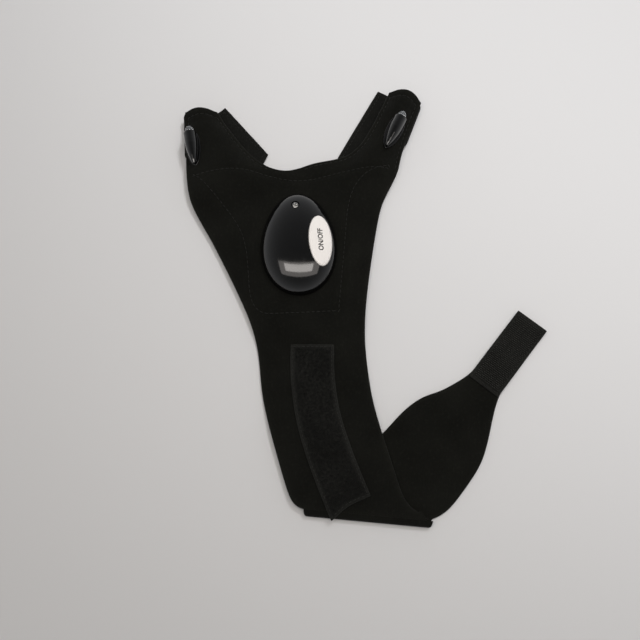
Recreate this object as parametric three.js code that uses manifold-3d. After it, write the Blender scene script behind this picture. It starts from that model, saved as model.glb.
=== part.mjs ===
// A fingerless torch glove for the right hand: a Y-shaped fabric panel with a thumb sleeve and an index
// sleeve, an egg-shaped battery pod with a push button, one light on each sleeve, and a wrist strap that
// is folded under at its end and closes with hook-and-loop tape.
// Millimetres, +Z up. The origin is on the table plane under the middle of the pod; +Y points to the fingers.
import * as THREE from "three";
import { mergeVertices } from "three/addons/utils/BufferGeometryUtils.js";
import Module from "manifold-3d";

const wasm = await Module();
wasm.setup();

// ---------- driving dimensions ----------

// Fits
const GAP = 0.3; // between pieces that touch
const RUN = 0.4; // round pieces that slide through an opening

// Fabrics
const FABRIC = 2.0; // knit-faced foam panel and strap
const BAND = 2.0; // stretch band that closes a sleeve
const LINING = 0.8; // patch sewn under the pod
const TAPE = 2.0; // hook or loop tape with its pile
const CLOTH_CELL = 5.4; // largest step of a cloth surface

// Hand panel, measured from the middle of the pod
const THUMB_SIDE = 70.5; // to the thumb edge of the palm
const INDEX_SIDE = 57; // to the index edge of the palm
const WEB_DEPTH = 48.6; // to the bottom of the web between the sleeves
const THUMB_REACH = 88; // to the mouth of the thumb sleeve
const INDEX_REACH = 100; // to the mouth of the index sleeve
const MOUTH_WIDTH = 20; // front layer across a sleeve's mouth
const MOUTH_BOW = 2; // how far the thumb sleeve's mouth bows forward; the index sleeve's bows twice that
const BAND_SHOW = 6.5; // band standing out past the front layer
const ARCH = 7.6; // how far a sleeve's front layer stands up
const ARCH_ROUND = 0.75; // power of its section: 0.5 is an ellipse, 1 a parabola
const SLEEVE_FLAT = 45; // length of a sleeve at its full height
const SLEEVE_FADE = 70; // and to where it has faded into the palm

// Wrist strap
const STRAP_WIDTH = 63;
const WRIST_DROP = 68; // from the pod's middle down to the wrist
const WRIST_MIDDLE = 8.2; // sideways place of the wrist's middle
const STRAP_LENGTH = 93.4; // from the wrist down to the fold
const STRAP_SWAY = 31; // sideways run of the strap between wrist and fold
const FOLD_LENGTH = 69;
const FOLD_TURN = THREE.MathUtils.degToRad(-5.2);
const FOLD_HOLLOW = 0.6; // inner radius of the fold
const TAIL_NECK = 21; // width where the hook tape starts
const TAIL_RUN = [69.1, 73.2]; // from the fold's middle to the middle of that end

// Tapes
const LOOP_WIDTH = 25;
const LOOP_LENGTH = STRAP_LENGTH - 1.4; // it ends at the fold
const HOOK_WIDTH = 20;
const HOOK_LENGTH = 50;
const HOOK_TURN = THREE.MathUtils.degToRad(-38.5);
const HOOK_LAP = 12; // tape over fabric

// Pod
const POD_WIDTH = 46;
const POD_LENGTH = 65.6;
const POD_RISE = 11.8; // dome above its rim
const POD_FULLNESS = 2.35; // power of its section: 2 is an ellipse, more is fuller
const POD_TAPER = 0.1; // the finger end is narrower by this share
const POD_SHIFT = -0.8; // the egg's middle below the origin, because its wide end is lower
const POD_LEAN = THREE.MathUtils.degToRad(2.2);
const POD_WALL = 1.6;
const BASE_PLATE = 1.0;
const BASE_WALL = 1.4;
const BASE_RISE = 0.8; // base wall above the cover's rim
const FLANGE = 3; // base plate under the fabric
const POD_INSIDE = POD_WIDTH / 2 - POD_WALL - GAP - BASE_WALL; // half the room in the base

// Screw
const SCREW_AT = [-1.2, 22.4];
const SCREW_HEAD = 4.5;
const SCREW_HEAD_RISE = 1.4;
const SCREW_SUNK = 1.1; // head below the face
const SCREW_SHANK = 2.0;
const SCREW_LENGTH = 6;
const BOSS_WALL = 1.5;

// Button and switch
const BUTTON_AT = [0.287 * POD_WIDTH, -1.4];
const BUTTON_WIDTH = 14;
const BUTTON_LENGTH = 32;
const BUTTON_TURN = THREE.MathUtils.degToRad(1.7);
const BUTTON_PROUD = 0.7;
const BUTTON_WALL = 1.2;
const BUTTON_LIP = 1.3; // rim that keeps the button in the cover
const BUTTON_STEM = 2.2; // radius
const SWITCH_SIZE = 6;
const SWITCH_RISE = 3.5;
const PLUNGER_RADIUS = 1.6;
const PLUNGER_RISE = 1.2;
const BUTTON_TRAVEL = 0.8;
const SWITCH_WELL = 2.0; // depth of the plunger's well

// Circuit board and cells
const CELL_DIAMETER = 20;
const CELL_RISE = 1.6;
const NEST_WALL = 1.0;
const NEST_CLEAR = 1.3; // from the cell's nest to the base wall
const NEST_SLOT = 7; // gaps in the nest, for a fingertip and the contacts
const CELL_AT = [CELL_DIAMETER / 2 + GAP + NEST_CLEAR - POD_INSIDE, -10.5];
const BOARD_EDGE = 0.82 * POD_INSIDE; // its long side next to the base wall
const BOARD_INNER = CELL_AT[0] + CELL_DIAMETER / 2 + 2 * GAP + NEST_WALL; // its side next to the nest
const BOARD = [BOARD_EDGE - BOARD_INNER, 27, 1];
const BOARD_AT = [(BOARD_EDGE + BOARD_INNER) / 2, -1];
const BOARD_STAND = 2.0; // above the base plate
const POST_RADIUS = 1.5; // posts under the board
const SPRING_SHEET = 0.3;
const CONTACT_WIDTH = 5;
const CONTACT_FOOT = 0.6; // thickness of the upper contact's feet

// Lights
const LED_RADIUS = 2.5;
const LED_LENGTH = 8.6;
const LED_FLANGE = 0.4; // wider than the body
const LED_SHOW = 4.2; // dome standing out of its housing
const LIGHT_LENGTH = 23;
const LIGHT_PLATE = 1.2;
const LIGHT_RIM = 1.2; // plate out past the barrel
const BARREL_WALL = 1.5;
const BARREL_RADIUS = LED_RADIUS + BARREL_WALL;
const BARREL_AXIS = LED_RADIUS + LED_FLANGE + 0.1; // above the fabric
const LIGHT_WIDTH = 2 * (BARREL_RADIUS + LIGHT_RIM);
const CLAMP_PLATE = 0.8;
const CLAMP_DROP = 1.3; // below the fabric at its crown, because the fabric arches
const CLAMP_WIDTH = 6.5;
const CLAMP_LENGTH = 15;
const WIRE_PORT = 2.0; // radius of the way through the fabric
const PORT_BACK = 5.2; // behind the middle of the light
const THUMB_LIGHT = { at: [-65.7, 60.9], turn: THREE.MathUtils.degToRad(9.8) };
const INDEX_LIGHT = { at: [58.2, 70.8], turn: THREE.MathUtils.degToRad(-25.4) };

// Wires
const WIRE_RADIUS = 0.5;
const WIRE_PITCH = 2.0; // between the two wires of a pair

// ---------- layers, from the table up ----------

const LAYER = LINING + GAP + BASE_PLATE + GAP; // underside of the palm fabric
const FOLD_RADIUS = FOLD_HOLLOW + FABRIC;
const FOLD_AXIS_Z = FOLD_RADIUS; // so the tail's underside lies at zero
const STRAP_OVER = FOLD_AXIS_Z + FOLD_HOLLOW; // underside of the strap at the fold
const PLATE_TOP = LINING + GAP + BASE_PLATE;
const RIM_Z = LAYER + FABRIC + GAP; // rim of the cover, on the fabric
const WIRE_Z = LINING + GAP + WIRE_RADIUS;

// ---------- helpers ----------

const at = (x, y) => new THREE.Vector2(x, y);
const mix = THREE.MathUtils.lerp;
const ramp = THREE.MathUtils.smoothstep;

// A closed three.js geometry as a solid that can be joined and cut.
function solid(geometry) {
  const bare = geometry.index ? geometry.clone() : geometry;
  bare.deleteAttribute("normal");
  bare.deleteAttribute("uv");
  const merged = mergeVertices(bare, 1e-4);
  return new wasm.Manifold(
    new wasm.Mesh({
      numProp: 3,
      vertProperties: new Float32Array(merged.attributes.position.array),
      triVerts: new Uint32Array(merged.index.array),
    }),
  );
}

// The finished solid as a geometry to draw.
function drawn(made) {
  const mesh = made.getMesh();
  const geometry = new THREE.BufferGeometry();
  geometry.setAttribute("position", new THREE.BufferAttribute(mesh.vertProperties, 3));
  geometry.setIndex(new THREE.BufferAttribute(mesh.triVerts, 1));
  geometry.computeVertexNormals();
  return geometry;
}

function named(name, made, finish) {
  const { color, roughness, metalness = 0 } = finish;
  const material = new THREE.MeshStandardMaterial({ color, roughness, metalness });
  const mesh = new THREE.Mesh(drawn(made), material);
  mesh.name = name;
  return mesh;
}

// A round bar standing on z0.
function cylinder(radius, z0, z1, [x, y] = [0, 0], sides = 20) {
  const bar = new THREE.CylinderGeometry(radius, radius, z1 - z0, sides);
  bar.rotateX(Math.PI / 2);
  bar.translate(x, y, (z0 + z1) / 2);
  return solid(bar);
}

function block([width, depth, height], [x, y, z]) {
  return solid(new THREE.BoxGeometry(width, depth, height).translate(x, y, z));
}

// An upright prism of a flat outline between two heights.
function prism(points, z0, z1, holes = []) {
  const shape = new THREE.Shape(points);
  shape.holes = holes.map((hole) => new THREE.Path(hole));
  const raised = new THREE.ExtrudeGeometry(shape, { depth: z1 - z0, bevelEnabled: false });
  return solid(raised.translate(0, 0, z0));
}

// A smooth edge through its points.
const edge = (points, steps) => new THREE.SplineCurve(points).getPoints(steps);

// Edges one after another, each starting where the last one ended.
const outline = (...edges) => edges.flatMap((points) => points.slice(1));

// Both sides of a ribbon of even width along a centre line.
function ribbon(centre, width, steps) {
  const curve = new THREE.SplineCurve(centre);
  const sides = { left: [], right: [] };
  for (let i = 0; i <= steps; i += 1) {
    const middle = curve.getPointAt(i / steps);
    const along = curve.getTangentAt(i / steps);
    const across = at(-along.y, along.x).multiplyScalar(width / 2);
    sides.left.push(middle.clone().add(across));
    sides.right.push(middle.clone().sub(across));
  }
  return [...sides.left, ...sides.right.reverse()];
}

// A round or oval outline: an egg when taper is more than zero, narrow end to +Y.
function oval(halfWidth, halfLength, taper = 0, sides = 40, [x, y] = [0, 0], turn = 0) {
  const points = [];
  for (let i = 0; i < sides; i += 1) {
    const angle = (i / sides) * 2 * Math.PI;
    const across = halfWidth * Math.cos(angle) * (1 - taper * Math.sin(angle));
    const along = halfLength * Math.sin(angle);
    points.push(at(across, along).rotateAround(at(0, 0), turn).add(at(x, y)));
  }
  return points;
}

// ---------- how the cloth lies ----------

const FOLD_MIDDLE = at(WRIST_MIDDLE + STRAP_SWAY, -WRIST_DROP - STRAP_LENGTH);
const FOLD_ALONG = at(1, 0).rotateAround(at(0, 0), FOLD_TURN);
const FOLD_ACROSS = at(0, 1).rotateAround(at(0, 0), FOLD_TURN); // from the fold towards the wrist
const foldPoint = (along, across) =>
  FOLD_MIDDLE.clone().addScaledVector(FOLD_ALONG, along).addScaledVector(FOLD_ACROSS, across);

// The mouth's two corners and the direction of each sleeve's edges.
const THUMB = {
  outer: at(-THUMB_SIDE - 2.3, THUMB_REACH - 0.5),
  inner: at(-THUMB_SIDE - 2.3 + MOUTH_WIDTH, THUMB_REACH),
  outerRun: at(2.6, -42),
  innerRun: at(20.2, -26.2),
};
const INDEX = {
  outer: at(INDEX_SIDE + 20, INDEX_REACH - 5),
  inner: at(INDEX_SIDE + 20 - MOUTH_WIDTH * 0.97, INDEX_REACH + 2.4),
  outerRun: at(-16.5, -43.4),
  innerRun: at(-15.3, -28.6),
};

// Distance of a point from an edge line, with its sign.
function aside(point, start, run) {
  const from = point.clone().sub(start);
  return run.clone().normalize().cross(from);
}

// How far the front layer stands up over a finger: round across the sleeve, fading into the palm.
function sleeveRise(point, sleeve, outerSign) {
  const outer = outerSign * aside(point, sleeve.outer, sleeve.outerRun);
  const inner = -outerSign * aside(point, sleeve.inner, sleeve.innerRun);
  if (outer <= 0 || inner <= 0) return 0;
  const across = (outer - inner) / (outer + inner);
  const mouth = sleeve.outer.clone().add(sleeve.inner).multiplyScalar(0.5);
  const back = mouth.distanceTo(point);
  const section = Math.pow(1 - across * across, ARCH_ROUND);
  return ARCH * section * (1 - ramp(back, SLEEVE_FLAT, SLEEVE_FADE));
}

// Underside of the panel and the strap above the table.
function underside(x, y) {
  const point = at(x, y);
  const wrist = -ramp(-y, POD_LENGTH / 2 + FLANGE + 12, WRIST_DROP - 2) * (LAYER - GAP);
  const toFold = FOLD_ACROSS.dot(point.clone().sub(FOLD_MIDDLE));
  const fold = (1 - ramp(toFold, 36, 68)) * (STRAP_OVER - GAP);
  return LAYER + wrist + fold + sleeveRise(point, THUMB, 1) + sleeveRise(point, INDEX, -1);
}

// A cloth piece: a gridded sheet that follows a height, trimmed to its outline.
function cloth(points, height, thickness, holes = []) {
  const box = new THREE.Box2().setFromPoints(points).expandByScalar(1);
  const size = box.getSize(at(0, 0));
  const middle = box.getCenter(at(0, 0));
  const columns = Math.ceil(size.x / CLOTH_CELL);
  const rows = Math.ceil(size.y / CLOTH_CELL);
  const sheet = new THREE.BoxGeometry(size.x, size.y, 1, columns, rows, 1);
  sheet.translate(middle.x, middle.y, 0);
  const place = sheet.attributes.position;
  for (let i = 0; i < place.count; i += 1) {
    const lift = place.getZ(i) > 0 ? thickness : 0;
    place.setZ(i, height(place.getX(i), place.getY(i)) + lift);
  }
  return solid(sheet).intersect(prism(points, -FABRIC, 10 * FABRIC, holes));
}

// ---------- finishes ----------

const KNIT = { color: 0x17171a, roughness: 0.95 };
const STRETCH = { color: 0x1b1b1f, roughness: 0.9 };
const PILE = { color: 0x121214, roughness: 1.0 };
const HOOKS = { color: 0x2a2a2d, roughness: 0.8 };
const GLOSS_BLACK = { color: 0x0a0a0b, roughness: 0.12 };
const WHITE_PLASTIC = { color: 0xf2f1ec, roughness: 0.35 };
const GREY_PLASTIC = { color: 0x3a3b3e, roughness: 0.5 };
const STEEL = { color: 0xc9cacc, roughness: 0.25, metalness: 1 };
const SPRING_BRASS = { color: 0xb79a5a, roughness: 0.3, metalness: 1 };
const BOARD_GREEN = { color: 0x1d5a35, roughness: 0.45 };
const CHIP_BLACK = { color: 0x141414, roughness: 0.6 };
const RESISTOR_TAN = { color: 0xc8a878, roughness: 0.6 };
const CLEAR = { color: 0xf4f6f8, roughness: 0.05 };
const RED_WIRE = { color: 0xb01818, roughness: 0.45 };
const BLACK_WIRE = { color: 0x0e0e0f, roughness: 0.45 };

// ---------- hand panel, lining and sleeve bands ----------

// The strap's two edges between wrist and fold: shares of its length and of its sway.
const STRAP_BOW = [[0, 0], [0.26, 0.09], [0.45, 0.22], [0.64, 0.385], [0.82, 0.55], [0.94, 0.7]];

function strapEdge(side) {
  const start = WRIST_MIDDLE + (side * STRAP_WIDTH) / 2;
  const bowed = STRAP_BOW.map(([share, bow]) =>
    at(start + bow * STRAP_SWAY, -WRIST_DROP - share * STRAP_LENGTH),
  );
  return [...bowed, foldPoint((side * FOLD_LENGTH) / 2, GAP)];
}

const WEB_EDGE = edge(
  [
    THUMB.inner,
    at(mix(THUMB.inner.x, -9, 0.3), mix(THUMB.inner.y, WEB_DEPTH, 0.5)),
    at(mix(THUMB.inner.x, -9, 0.6), mix(THUMB.inner.y, WEB_DEPTH, 0.83)),
    at(-9, WEB_DEPTH),
    at(mix(-9, INDEX.inner.x, 0.27), mix(WEB_DEPTH, INDEX.inner.y, 0.1)),
    at(mix(-9, INDEX.inner.x, 0.6), mix(WEB_DEPTH, INDEX.inner.y, 0.2)),
    at(mix(-9, INDEX.inner.x, 0.78), mix(WEB_DEPTH, INDEX.inner.y, 0.42)),
    INDEX.inner,
  ],
  34,
);

function mouthEdge(from, to, bulge) {
  const middle = from.clone().add(to).multiplyScalar(0.5);
  const out = at(to.y - from.y, from.x - to.x).normalize();
  return edge([from, middle.addScaledVector(out, bulge), to], 8);
}

function panelOutline() {
  const left = strapEdge(-1);
  const right = strapEdge(1);
  const indexSide = [
    at(INDEX_SIDE - 17.5, -WRIST_DROP * 0.7),
    at(INDEX_SIDE - 14.5, -WRIST_DROP * 0.3),
    at(INDEX_SIDE - 9, 13),
    at(INDEX_SIDE - 5.2, 28),
    at(INDEX_SIDE + 1.4, 41.8),
    INDEX.outer.clone().addScaledVector(INDEX.outerRun, 0.55),
    INDEX.outer,
  ];
  const thumbSide = [
    THUMB.outer,
    THUMB.outer.clone().addScaledVector(THUMB.outerRun, 0.6),
    at(-THUMB_SIDE + 0.4, 45),
    at(-THUMB_SIDE + 4, 26),
    at(-THUMB_SIDE * 0.74, 0),
    at(-THUMB_SIDE * 0.54, -28),
    at(-THUMB_SIDE * 0.4, -50),
  ];
  return outline(
    [left.at(-1), right.at(-1)],
    edge([...right.reverse(), ...indexSide], 40),
    mouthEdge(INDEX.outer, INDEX.inner, MOUTH_BOW * 2),
    [...WEB_EDGE].reverse(),
    mouthEdge(THUMB.inner, THUMB.outer, MOUTH_BOW),
    edge([...thumbSide, ...left], 40),
  );
}

// The way for a light's wires through the fabric, square to the light.
function wirePort(place) {
  const way = new THREE.CylinderGeometry(WIRE_PORT, WIRE_PORT, 4 * FABRIC, 12);
  way.rotateX(Math.PI / 2);
  way.translate(0, -PORT_BACK, -FABRIC);
  return solid(way.applyMatrix4(lightFrame(place)));
}

function dorsalPanel() {
  const wallWidth = POD_WIDTH / 2 - POD_WALL - GAP + RUN;
  const wallLength = POD_LENGTH / 2 - POD_WALL - GAP + RUN;
  const podHole = oval(wallWidth, wallLength, POD_TAPER, 40, [0, POD_SHIFT], POD_LEAN);
  let made = cloth(panelOutline(), underside, FABRIC, [podHole]);
  for (const place of [THUMB_LIGHT, INDEX_LIGHT]) made = made.subtract(wirePort(place));
  return named("dorsal_panel", made, KNIT);
}

// A shield-shaped patch: an arm out to each sleeve, ending above the wrist.
function liningPatch() {
  const half = POD_WIDTH / 2 + FLANGE;
  const low = -POD_LENGTH / 2 - 13;
  const foot = [at(-half + 5, low), at(half - 1, low + 2)];
  const indexArm = at(INDEX_SIDE, WEB_DEPTH + 1);
  const thumbArm = at(-THUMB_SIDE + 3, WEB_DEPTH - 4.5);
  const points = outline(
    foot,
    edge([foot[1], at(half + 3, 0), at(half + 6, 28), at(half + 14, 44), indexArm], 14),
    edge(
      [indexArm, at(half + 4, WEB_DEPTH + 1), at(0, WEB_DEPTH - 6), at(-half - 8, WEB_DEPTH), thumbArm],
      14,
    ),
    edge([thumbArm, at(-THUMB_SIDE + 12, 37), at(-half - 9.5, 6), at(-half - 3.5, -36), foot[0]], 14),
  );
  return named("lining_patch", prism(points, 0, LINING), STRETCH);
}

// The stretch band lies flat on the table under the finger and shows past the front layer.
function sleeveBand(name, sleeve, side, reach) {
  const showing = (point) => {
    const run = sleeve.innerRun.clone().normalize();
    return point.clone().add(at(-run.y, run.x).multiplyScalar(side * BAND_SHOW));
  };
  const frontInner = showing(sleeve.inner.clone().addScaledVector(sleeve.innerRun, -0.06));
  const backInner = showing(sleeve.inner.clone().addScaledVector(sleeve.innerRun, reach));
  const backOuter = sleeve.outer.clone().addScaledVector(sleeve.outerRun, 0.72);
  const bow = sleeve.outer.clone().add(sleeve.inner).multiplyScalar(0.5).add(at(0, -3));
  const points = outline(
    edge([sleeve.outer.clone().add(at(0, -1)), bow, frontInner], 8),
    [frontInner, backInner],
    [backInner, backInner.clone().add(at(-side * 3, -5))],
    [backInner, backOuter],
    [backOuter, sleeve.outer.clone().add(at(0, -1))],
  );
  return named(name, prism(points, 0, BAND), STRETCH);
}

// ---------- wrist strap: fold, tail and tapes ----------

function strapFold() {
  const section = new THREE.Shape();
  section.absarc(0, 0, FOLD_RADIUS, -Math.PI / 2, Math.PI / 2, false);
  section.absarc(0, 0, FOLD_HOLLOW, Math.PI / 2, -Math.PI / 2, true);
  const length = FOLD_LENGTH - 2;
  const bent = new THREE.ExtrudeGeometry(section, {
    depth: length,
    bevelEnabled: false,
    curveSegments: 8,
  });
  // The section's +X bulges away from the wrist, and its length lies along the fold.
  bent.translate(0, 0, -length / 2);
  const along = new THREE.Vector3(FOLD_ALONG.x, FOLD_ALONG.y, 0);
  const outward = new THREE.Vector3(-FOLD_ACROSS.x, -FOLD_ACROSS.y, 0);
  const basis = new THREE.Matrix4().makeBasis(outward, new THREE.Vector3(0, 0, 1), along.negate());
  basis.setPosition(FOLD_MIDDLE.x, FOLD_MIDDLE.y, FOLD_AXIS_Z);
  return named("strap_fold", solid(bent.applyMatrix4(basis)), KNIT);
}

const TAIL_MIDDLE = FOLD_MIDDLE.clone().add(at(...TAIL_RUN));
const TAIL_ALONG = at(0, 1).rotateAround(at(0, 0), HOOK_TURN);
const TAIL_ACROSS = at(1, 0).rotateAround(at(0, 0), HOOK_TURN);
const tailPoint = (across, along) =>
  TAIL_MIDDLE.clone().addScaledVector(TAIL_ACROSS, across).addScaledVector(TAIL_ALONG, along);

function strapTail() {
  const start = [foldPoint(-FOLD_LENGTH / 2, GAP), foldPoint(FOLD_LENGTH / 2, GAP)];
  const half = TAIL_NECK / 2;
  const lap = HOOK_LAP - 1;
  const narrow = (HOOK_WIDTH - 1.6) / 2;
  const leftEdge = [
    tailPoint(-narrow, lap),
    tailPoint(-half, 0),
    tailPoint(-half - 7.3, -18.5),
    tailPoint(-half - 12.7, -26),
    tailPoint(-half - 16.9, -40),
    tailPoint(-half - 18.8, -61),
    tailPoint(-half - 24.6, -90),
    start[0],
  ];
  const rightEdge = [
    start[1],
    tailPoint(half + 14.2, -72),
    tailPoint(half + 15.2, -59),
    tailPoint(half + 14.3, -38.4),
    tailPoint(half + 9.7, -24),
    tailPoint(half + 4.8, -13),
    tailPoint(half, 0),
    tailPoint(narrow, lap),
  ];
  const points = outline(start, edge(rightEdge, 24), [rightEdge.at(-1), leftEdge[0]], edge(leftEdge, 24));
  return named("strap_tail", prism(points, 0, FABRIC), KNIT);
}

const LOOP_TOP = -WRIST_DROP + 4.3;
const LOOP_BOW = [[0, 0.01], [0.2, 0.01], [0.48, 0.13], [0.75, 0.38], [1, 0.68]];

function loopStrip() {
  const centre = LOOP_BOW.map(([share, bow]) =>
    at(WRIST_MIDDLE + bow * STRAP_SWAY, LOOP_TOP - share * LOOP_LENGTH),
  );
  const over = (x, y1) => underside(x, y1) + FABRIC + GAP;
  return named("loop_strip", cloth(ribbon(centre, LOOP_WIDTH, 12), over, TAPE), PILE);
}

function hookTab() {
  const half = HOOK_WIDTH / 2;
  const corners = [
    tailPoint(-half, 0),
    tailPoint(half, 0),
    tailPoint(half, HOOK_LENGTH),
    tailPoint(-half, HOOK_LENGTH),
  ];
  const z0 = FABRIC + GAP;
  return named("hook_tab", prism(corners, z0, z0 + TAPE), HOOKS);
}

// ---------- battery pod ----------

// A solid egg dome on z0: an oval plan, a superellipse in section.
function dome(halfWidth, halfLength, rise, z0, skirt = 0) {
  const SECTION = 8;
  const profile = [at(0, -skirt)];
  if (skirt > 0) profile.push(at(1, -skirt));
  for (let i = 0; i <= SECTION; i += 1) {
    const angle = (i / SECTION) * (Math.PI / 2);
    const share = Math.pow(Math.cos(angle), 2 / POD_FULLNESS);
    const lift = Math.pow(Math.sin(angle), 2 / POD_FULLNESS);
    profile.push(at(i === SECTION ? 0 : share, rise * lift));
  }
  const turned = new THREE.LatheGeometry(profile, 40);
  turned.rotateX(Math.PI / 2);
  const place = turned.attributes.position;
  for (let i = 0; i < place.count; i += 1) {
    const along = place.getY(i);
    const across = place.getX(i) * (1 - POD_TAPER * along);
    place.setXYZ(i, across * halfWidth, along * halfLength, place.getZ(i) + z0);
  }
  return solid(turned);
}

const HALF_WIDTH = POD_WIDTH / 2;
const HALF_LENGTH = POD_LENGTH / 2;
const INNER = POD_WALL + GAP; // from the cover's face to the base's wall

const eggPrism = (inset, z0, z1) =>
  prism(oval(HALF_WIDTH - inset, HALF_LENGTH - inset, POD_TAPER, 40), z0, z1);

// Height of the dome's face at a point of the plan, for a face moved out by proud.
function domeHeight(x, y, proud = 0) {
  const along = y / (HALF_LENGTH + proud);
  const across = x / ((HALF_WIDTH + proud) * (1 - POD_TAPER * along));
  const share = Math.min(1, Math.hypot(across, along));
  return RIM_Z + (POD_RISE + proud) * Math.pow(1 - Math.pow(share, POD_FULLNESS), 1 / POD_FULLNESS);
}

const BOARD_Z = PLATE_TOP + BOARD_STAND;
const SWITCH_TOP = BOARD_Z + BOARD[2] + GAP + SWITCH_RISE;
const PLUNGER_TOP = SWITCH_TOP + PLUNGER_RISE;
const HEAD_SEAT = domeHeight(...SCREW_AT) - SCREW_HEAD_RISE - SCREW_SUNK;
const BOSS_TOP = HEAD_SEAT - POD_WALL - GAP;

// Wires leave the base through two cuts in its foot, one towards each sleeve.
const EXIT_RUN = 7; // length of a cut inside the wall
const EXITS = {
  thumb: THREE.MathUtils.degToRad(128),
  index: THREE.MathUtils.degToRad(52),
};

// A point on the egg's edge, moved out along its ray by some millimetres, and aside from it.
function exitPoint(angle, out, sideways = 0) {
  const across = HALF_WIDTH * Math.cos(angle) * (1 - POD_TAPER * Math.sin(angle));
  const egg = at(across, HALF_LENGTH * Math.sin(angle));
  const left = at(-egg.y, egg.x).setLength(1);
  return egg.setLength(egg.length() + out).addScaledVector(left, sideways);
}

function exitCut(angle) {
  const width = WIRE_PITCH + 2 * WIRE_RADIUS + 2 * GAP;
  const rise = PLATE_TOP + 2 * WIRE_RADIUS + GAP;
  const cut = new THREE.BoxGeometry(EXIT_RUN + 20, width, rise);
  cut.translate(10 - EXIT_RUN / 2, 0, 0);
  cut.rotateZ(exitPoint(angle, 0).angle());
  const reach = exitPoint(angle, -INNER - BASE_WALL);
  return solid(cut.translate(reach.x, reach.y, rise / 2));
}

function podBase() {
  const plate = eggPrism(-FLANGE, LINING + GAP, PLATE_TOP);
  const wallTop = RIM_Z + BASE_RISE;
  const wall = eggPrism(INNER, PLATE_TOP - GAP, wallTop).subtract(
    eggPrism(INNER + BASE_WALL, PLATE_TOP, wallTop + 1),
  );
  const bossRadius = SCREW_SHANK / 2 + GAP + BOSS_WALL;
  const boss = cylinder(bossRadius, PLATE_TOP - GAP, BOSS_TOP, SCREW_AT);
  const pilot = cylinder(SCREW_SHANK / 2 + GAP, PLATE_TOP + 1, BOSS_TOP + 1, SCREW_AT, 16);
  const nest = CELL_DIAMETER / 2 + GAP;
  const nestRise = PLATE_TOP + 2 * CELL_RISE;
  const ring = cylinder(nest + NEST_WALL, PLATE_TOP - GAP, nestRise, CELL_AT, 32)
    .subtract(cylinder(nest, PLATE_TOP, nestRise + 1, CELL_AT, 32))
    .subtract(block([2 * CELL_DIAMETER, NEST_SLOT, 8], [...CELL_AT, PLATE_TOP + 4]));
  let made = plate.add(wall).add(boss).add(ring.intersect(eggPrism(INNER, 0, nestRise)));
  for (const end of [-1, 1]) {
    const y = BOARD_AT[1] + (end * (BOARD[1] - 6)) / 2;
    const post = [BOARD_EDGE - 2 * POST_RADIUS, y];
    made = made.add(cylinder(POST_RADIUS, PLATE_TOP - GAP, BOARD_Z - GAP, post, 12));
  }
  made = made.subtract(pilot);
  for (const angle of Object.values(EXITS)) made = made.subtract(exitCut(angle));
  return named("pod_base", made, GREY_PLASTIC);
}

const buttonOval = (margin, sides = 28) =>
  oval(BUTTON_WIDTH / 2 + margin, BUTTON_LENGTH / 2 + margin, 0, sides, BUTTON_AT, BUTTON_TURN);

function podCover() {
  const outer = dome(HALF_WIDTH, HALF_LENGTH, POD_RISE, RIM_Z);
  const inner = dome(HALF_WIDTH - POD_WALL, HALF_LENGTH - POD_WALL, POD_RISE - POD_WALL, RIM_Z, 1);
  const post = cylinder(SCREW_HEAD / 2 + GAP + BOSS_WALL, HEAD_SEAT - POD_WALL, RIM_Z + POD_RISE, SCREW_AT);
  const recess = cylinder(SCREW_HEAD / 2 + GAP, HEAD_SEAT, RIM_Z + POD_RISE + 1, SCREW_AT);
  const passage = cylinder(SCREW_SHANK / 2 + GAP, 0, RIM_Z + POD_RISE, SCREW_AT, 16);
  const opening = prism(buttonOval(GAP), 0, RIM_Z + POD_RISE + 2);
  const made = outer
    .subtract(inner)
    .add(post.intersect(outer))
    .subtract(recess)
    .subtract(passage)
    .subtract(opening);
  return named("pod_cover", made, GLOSS_BLACK);
}

// The button's face follows the dome, its lip sits under the cover, and its stem meets the plunger.
function button() {
  const face = dome(
    HALF_WIDTH + BUTTON_PROUD,
    HALF_LENGTH + BUTTON_PROUD,
    POD_RISE + BUTTON_PROUD,
    RIM_Z,
  );
  const within = POD_WALL + GAP;
  const lipFace = dome(HALF_WIDTH - within, HALF_LENGTH - within, POD_RISE - within, RIM_Z, 2);
  const below = within + BUTTON_WALL;
  const hollow = dome(HALF_WIDTH - below, HALF_LENGTH - below, POD_RISE - below, RIM_Z, 8);
  const foot = RIM_Z + BASE_RISE + BUTTON_TRAVEL + GAP;
  const body = face.intersect(prism(buttonOval(0), foot, RIM_Z + POD_RISE + 2));
  const lip = lipFace.intersect(prism(buttonOval(BUTTON_LIP), foot, RIM_Z + POD_RISE));
  const stem = cylinder(BUTTON_STEM, PLUNGER_TOP + GAP, domeHeight(...BUTTON_AT, -below) + 1, BUTTON_AT);
  const made = body.add(lip).subtract(hollow).add(stem);
  return named("button", made, WHITE_PLASTIC);
}

function coverScrew() {
  const head = cylinder(SCREW_HEAD / 2, HEAD_SEAT + GAP, HEAD_SEAT + GAP + SCREW_HEAD_RISE, SCREW_AT);
  const shank = cylinder(SCREW_SHANK / 2, HEAD_SEAT - SCREW_LENGTH, HEAD_SEAT + 1, SCREW_AT, 14);
  const top = HEAD_SEAT + GAP + SCREW_HEAD_RISE;
  let made = head.add(shank);
  for (const size of [[SCREW_HEAD * 0.6, 0.6, 1.2], [0.6, SCREW_HEAD * 0.6, 1.2]]) {
    made = made.subtract(block(size, [...SCREW_AT, top]));
  }
  return named("cover_screw", made, STEEL);
}

function circuitBoard() {
  const middle = [...BOARD_AT, BOARD_Z + BOARD[2] / 2];
  return named("circuit_board", block(BOARD, middle), BOARD_GREEN);
}

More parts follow.
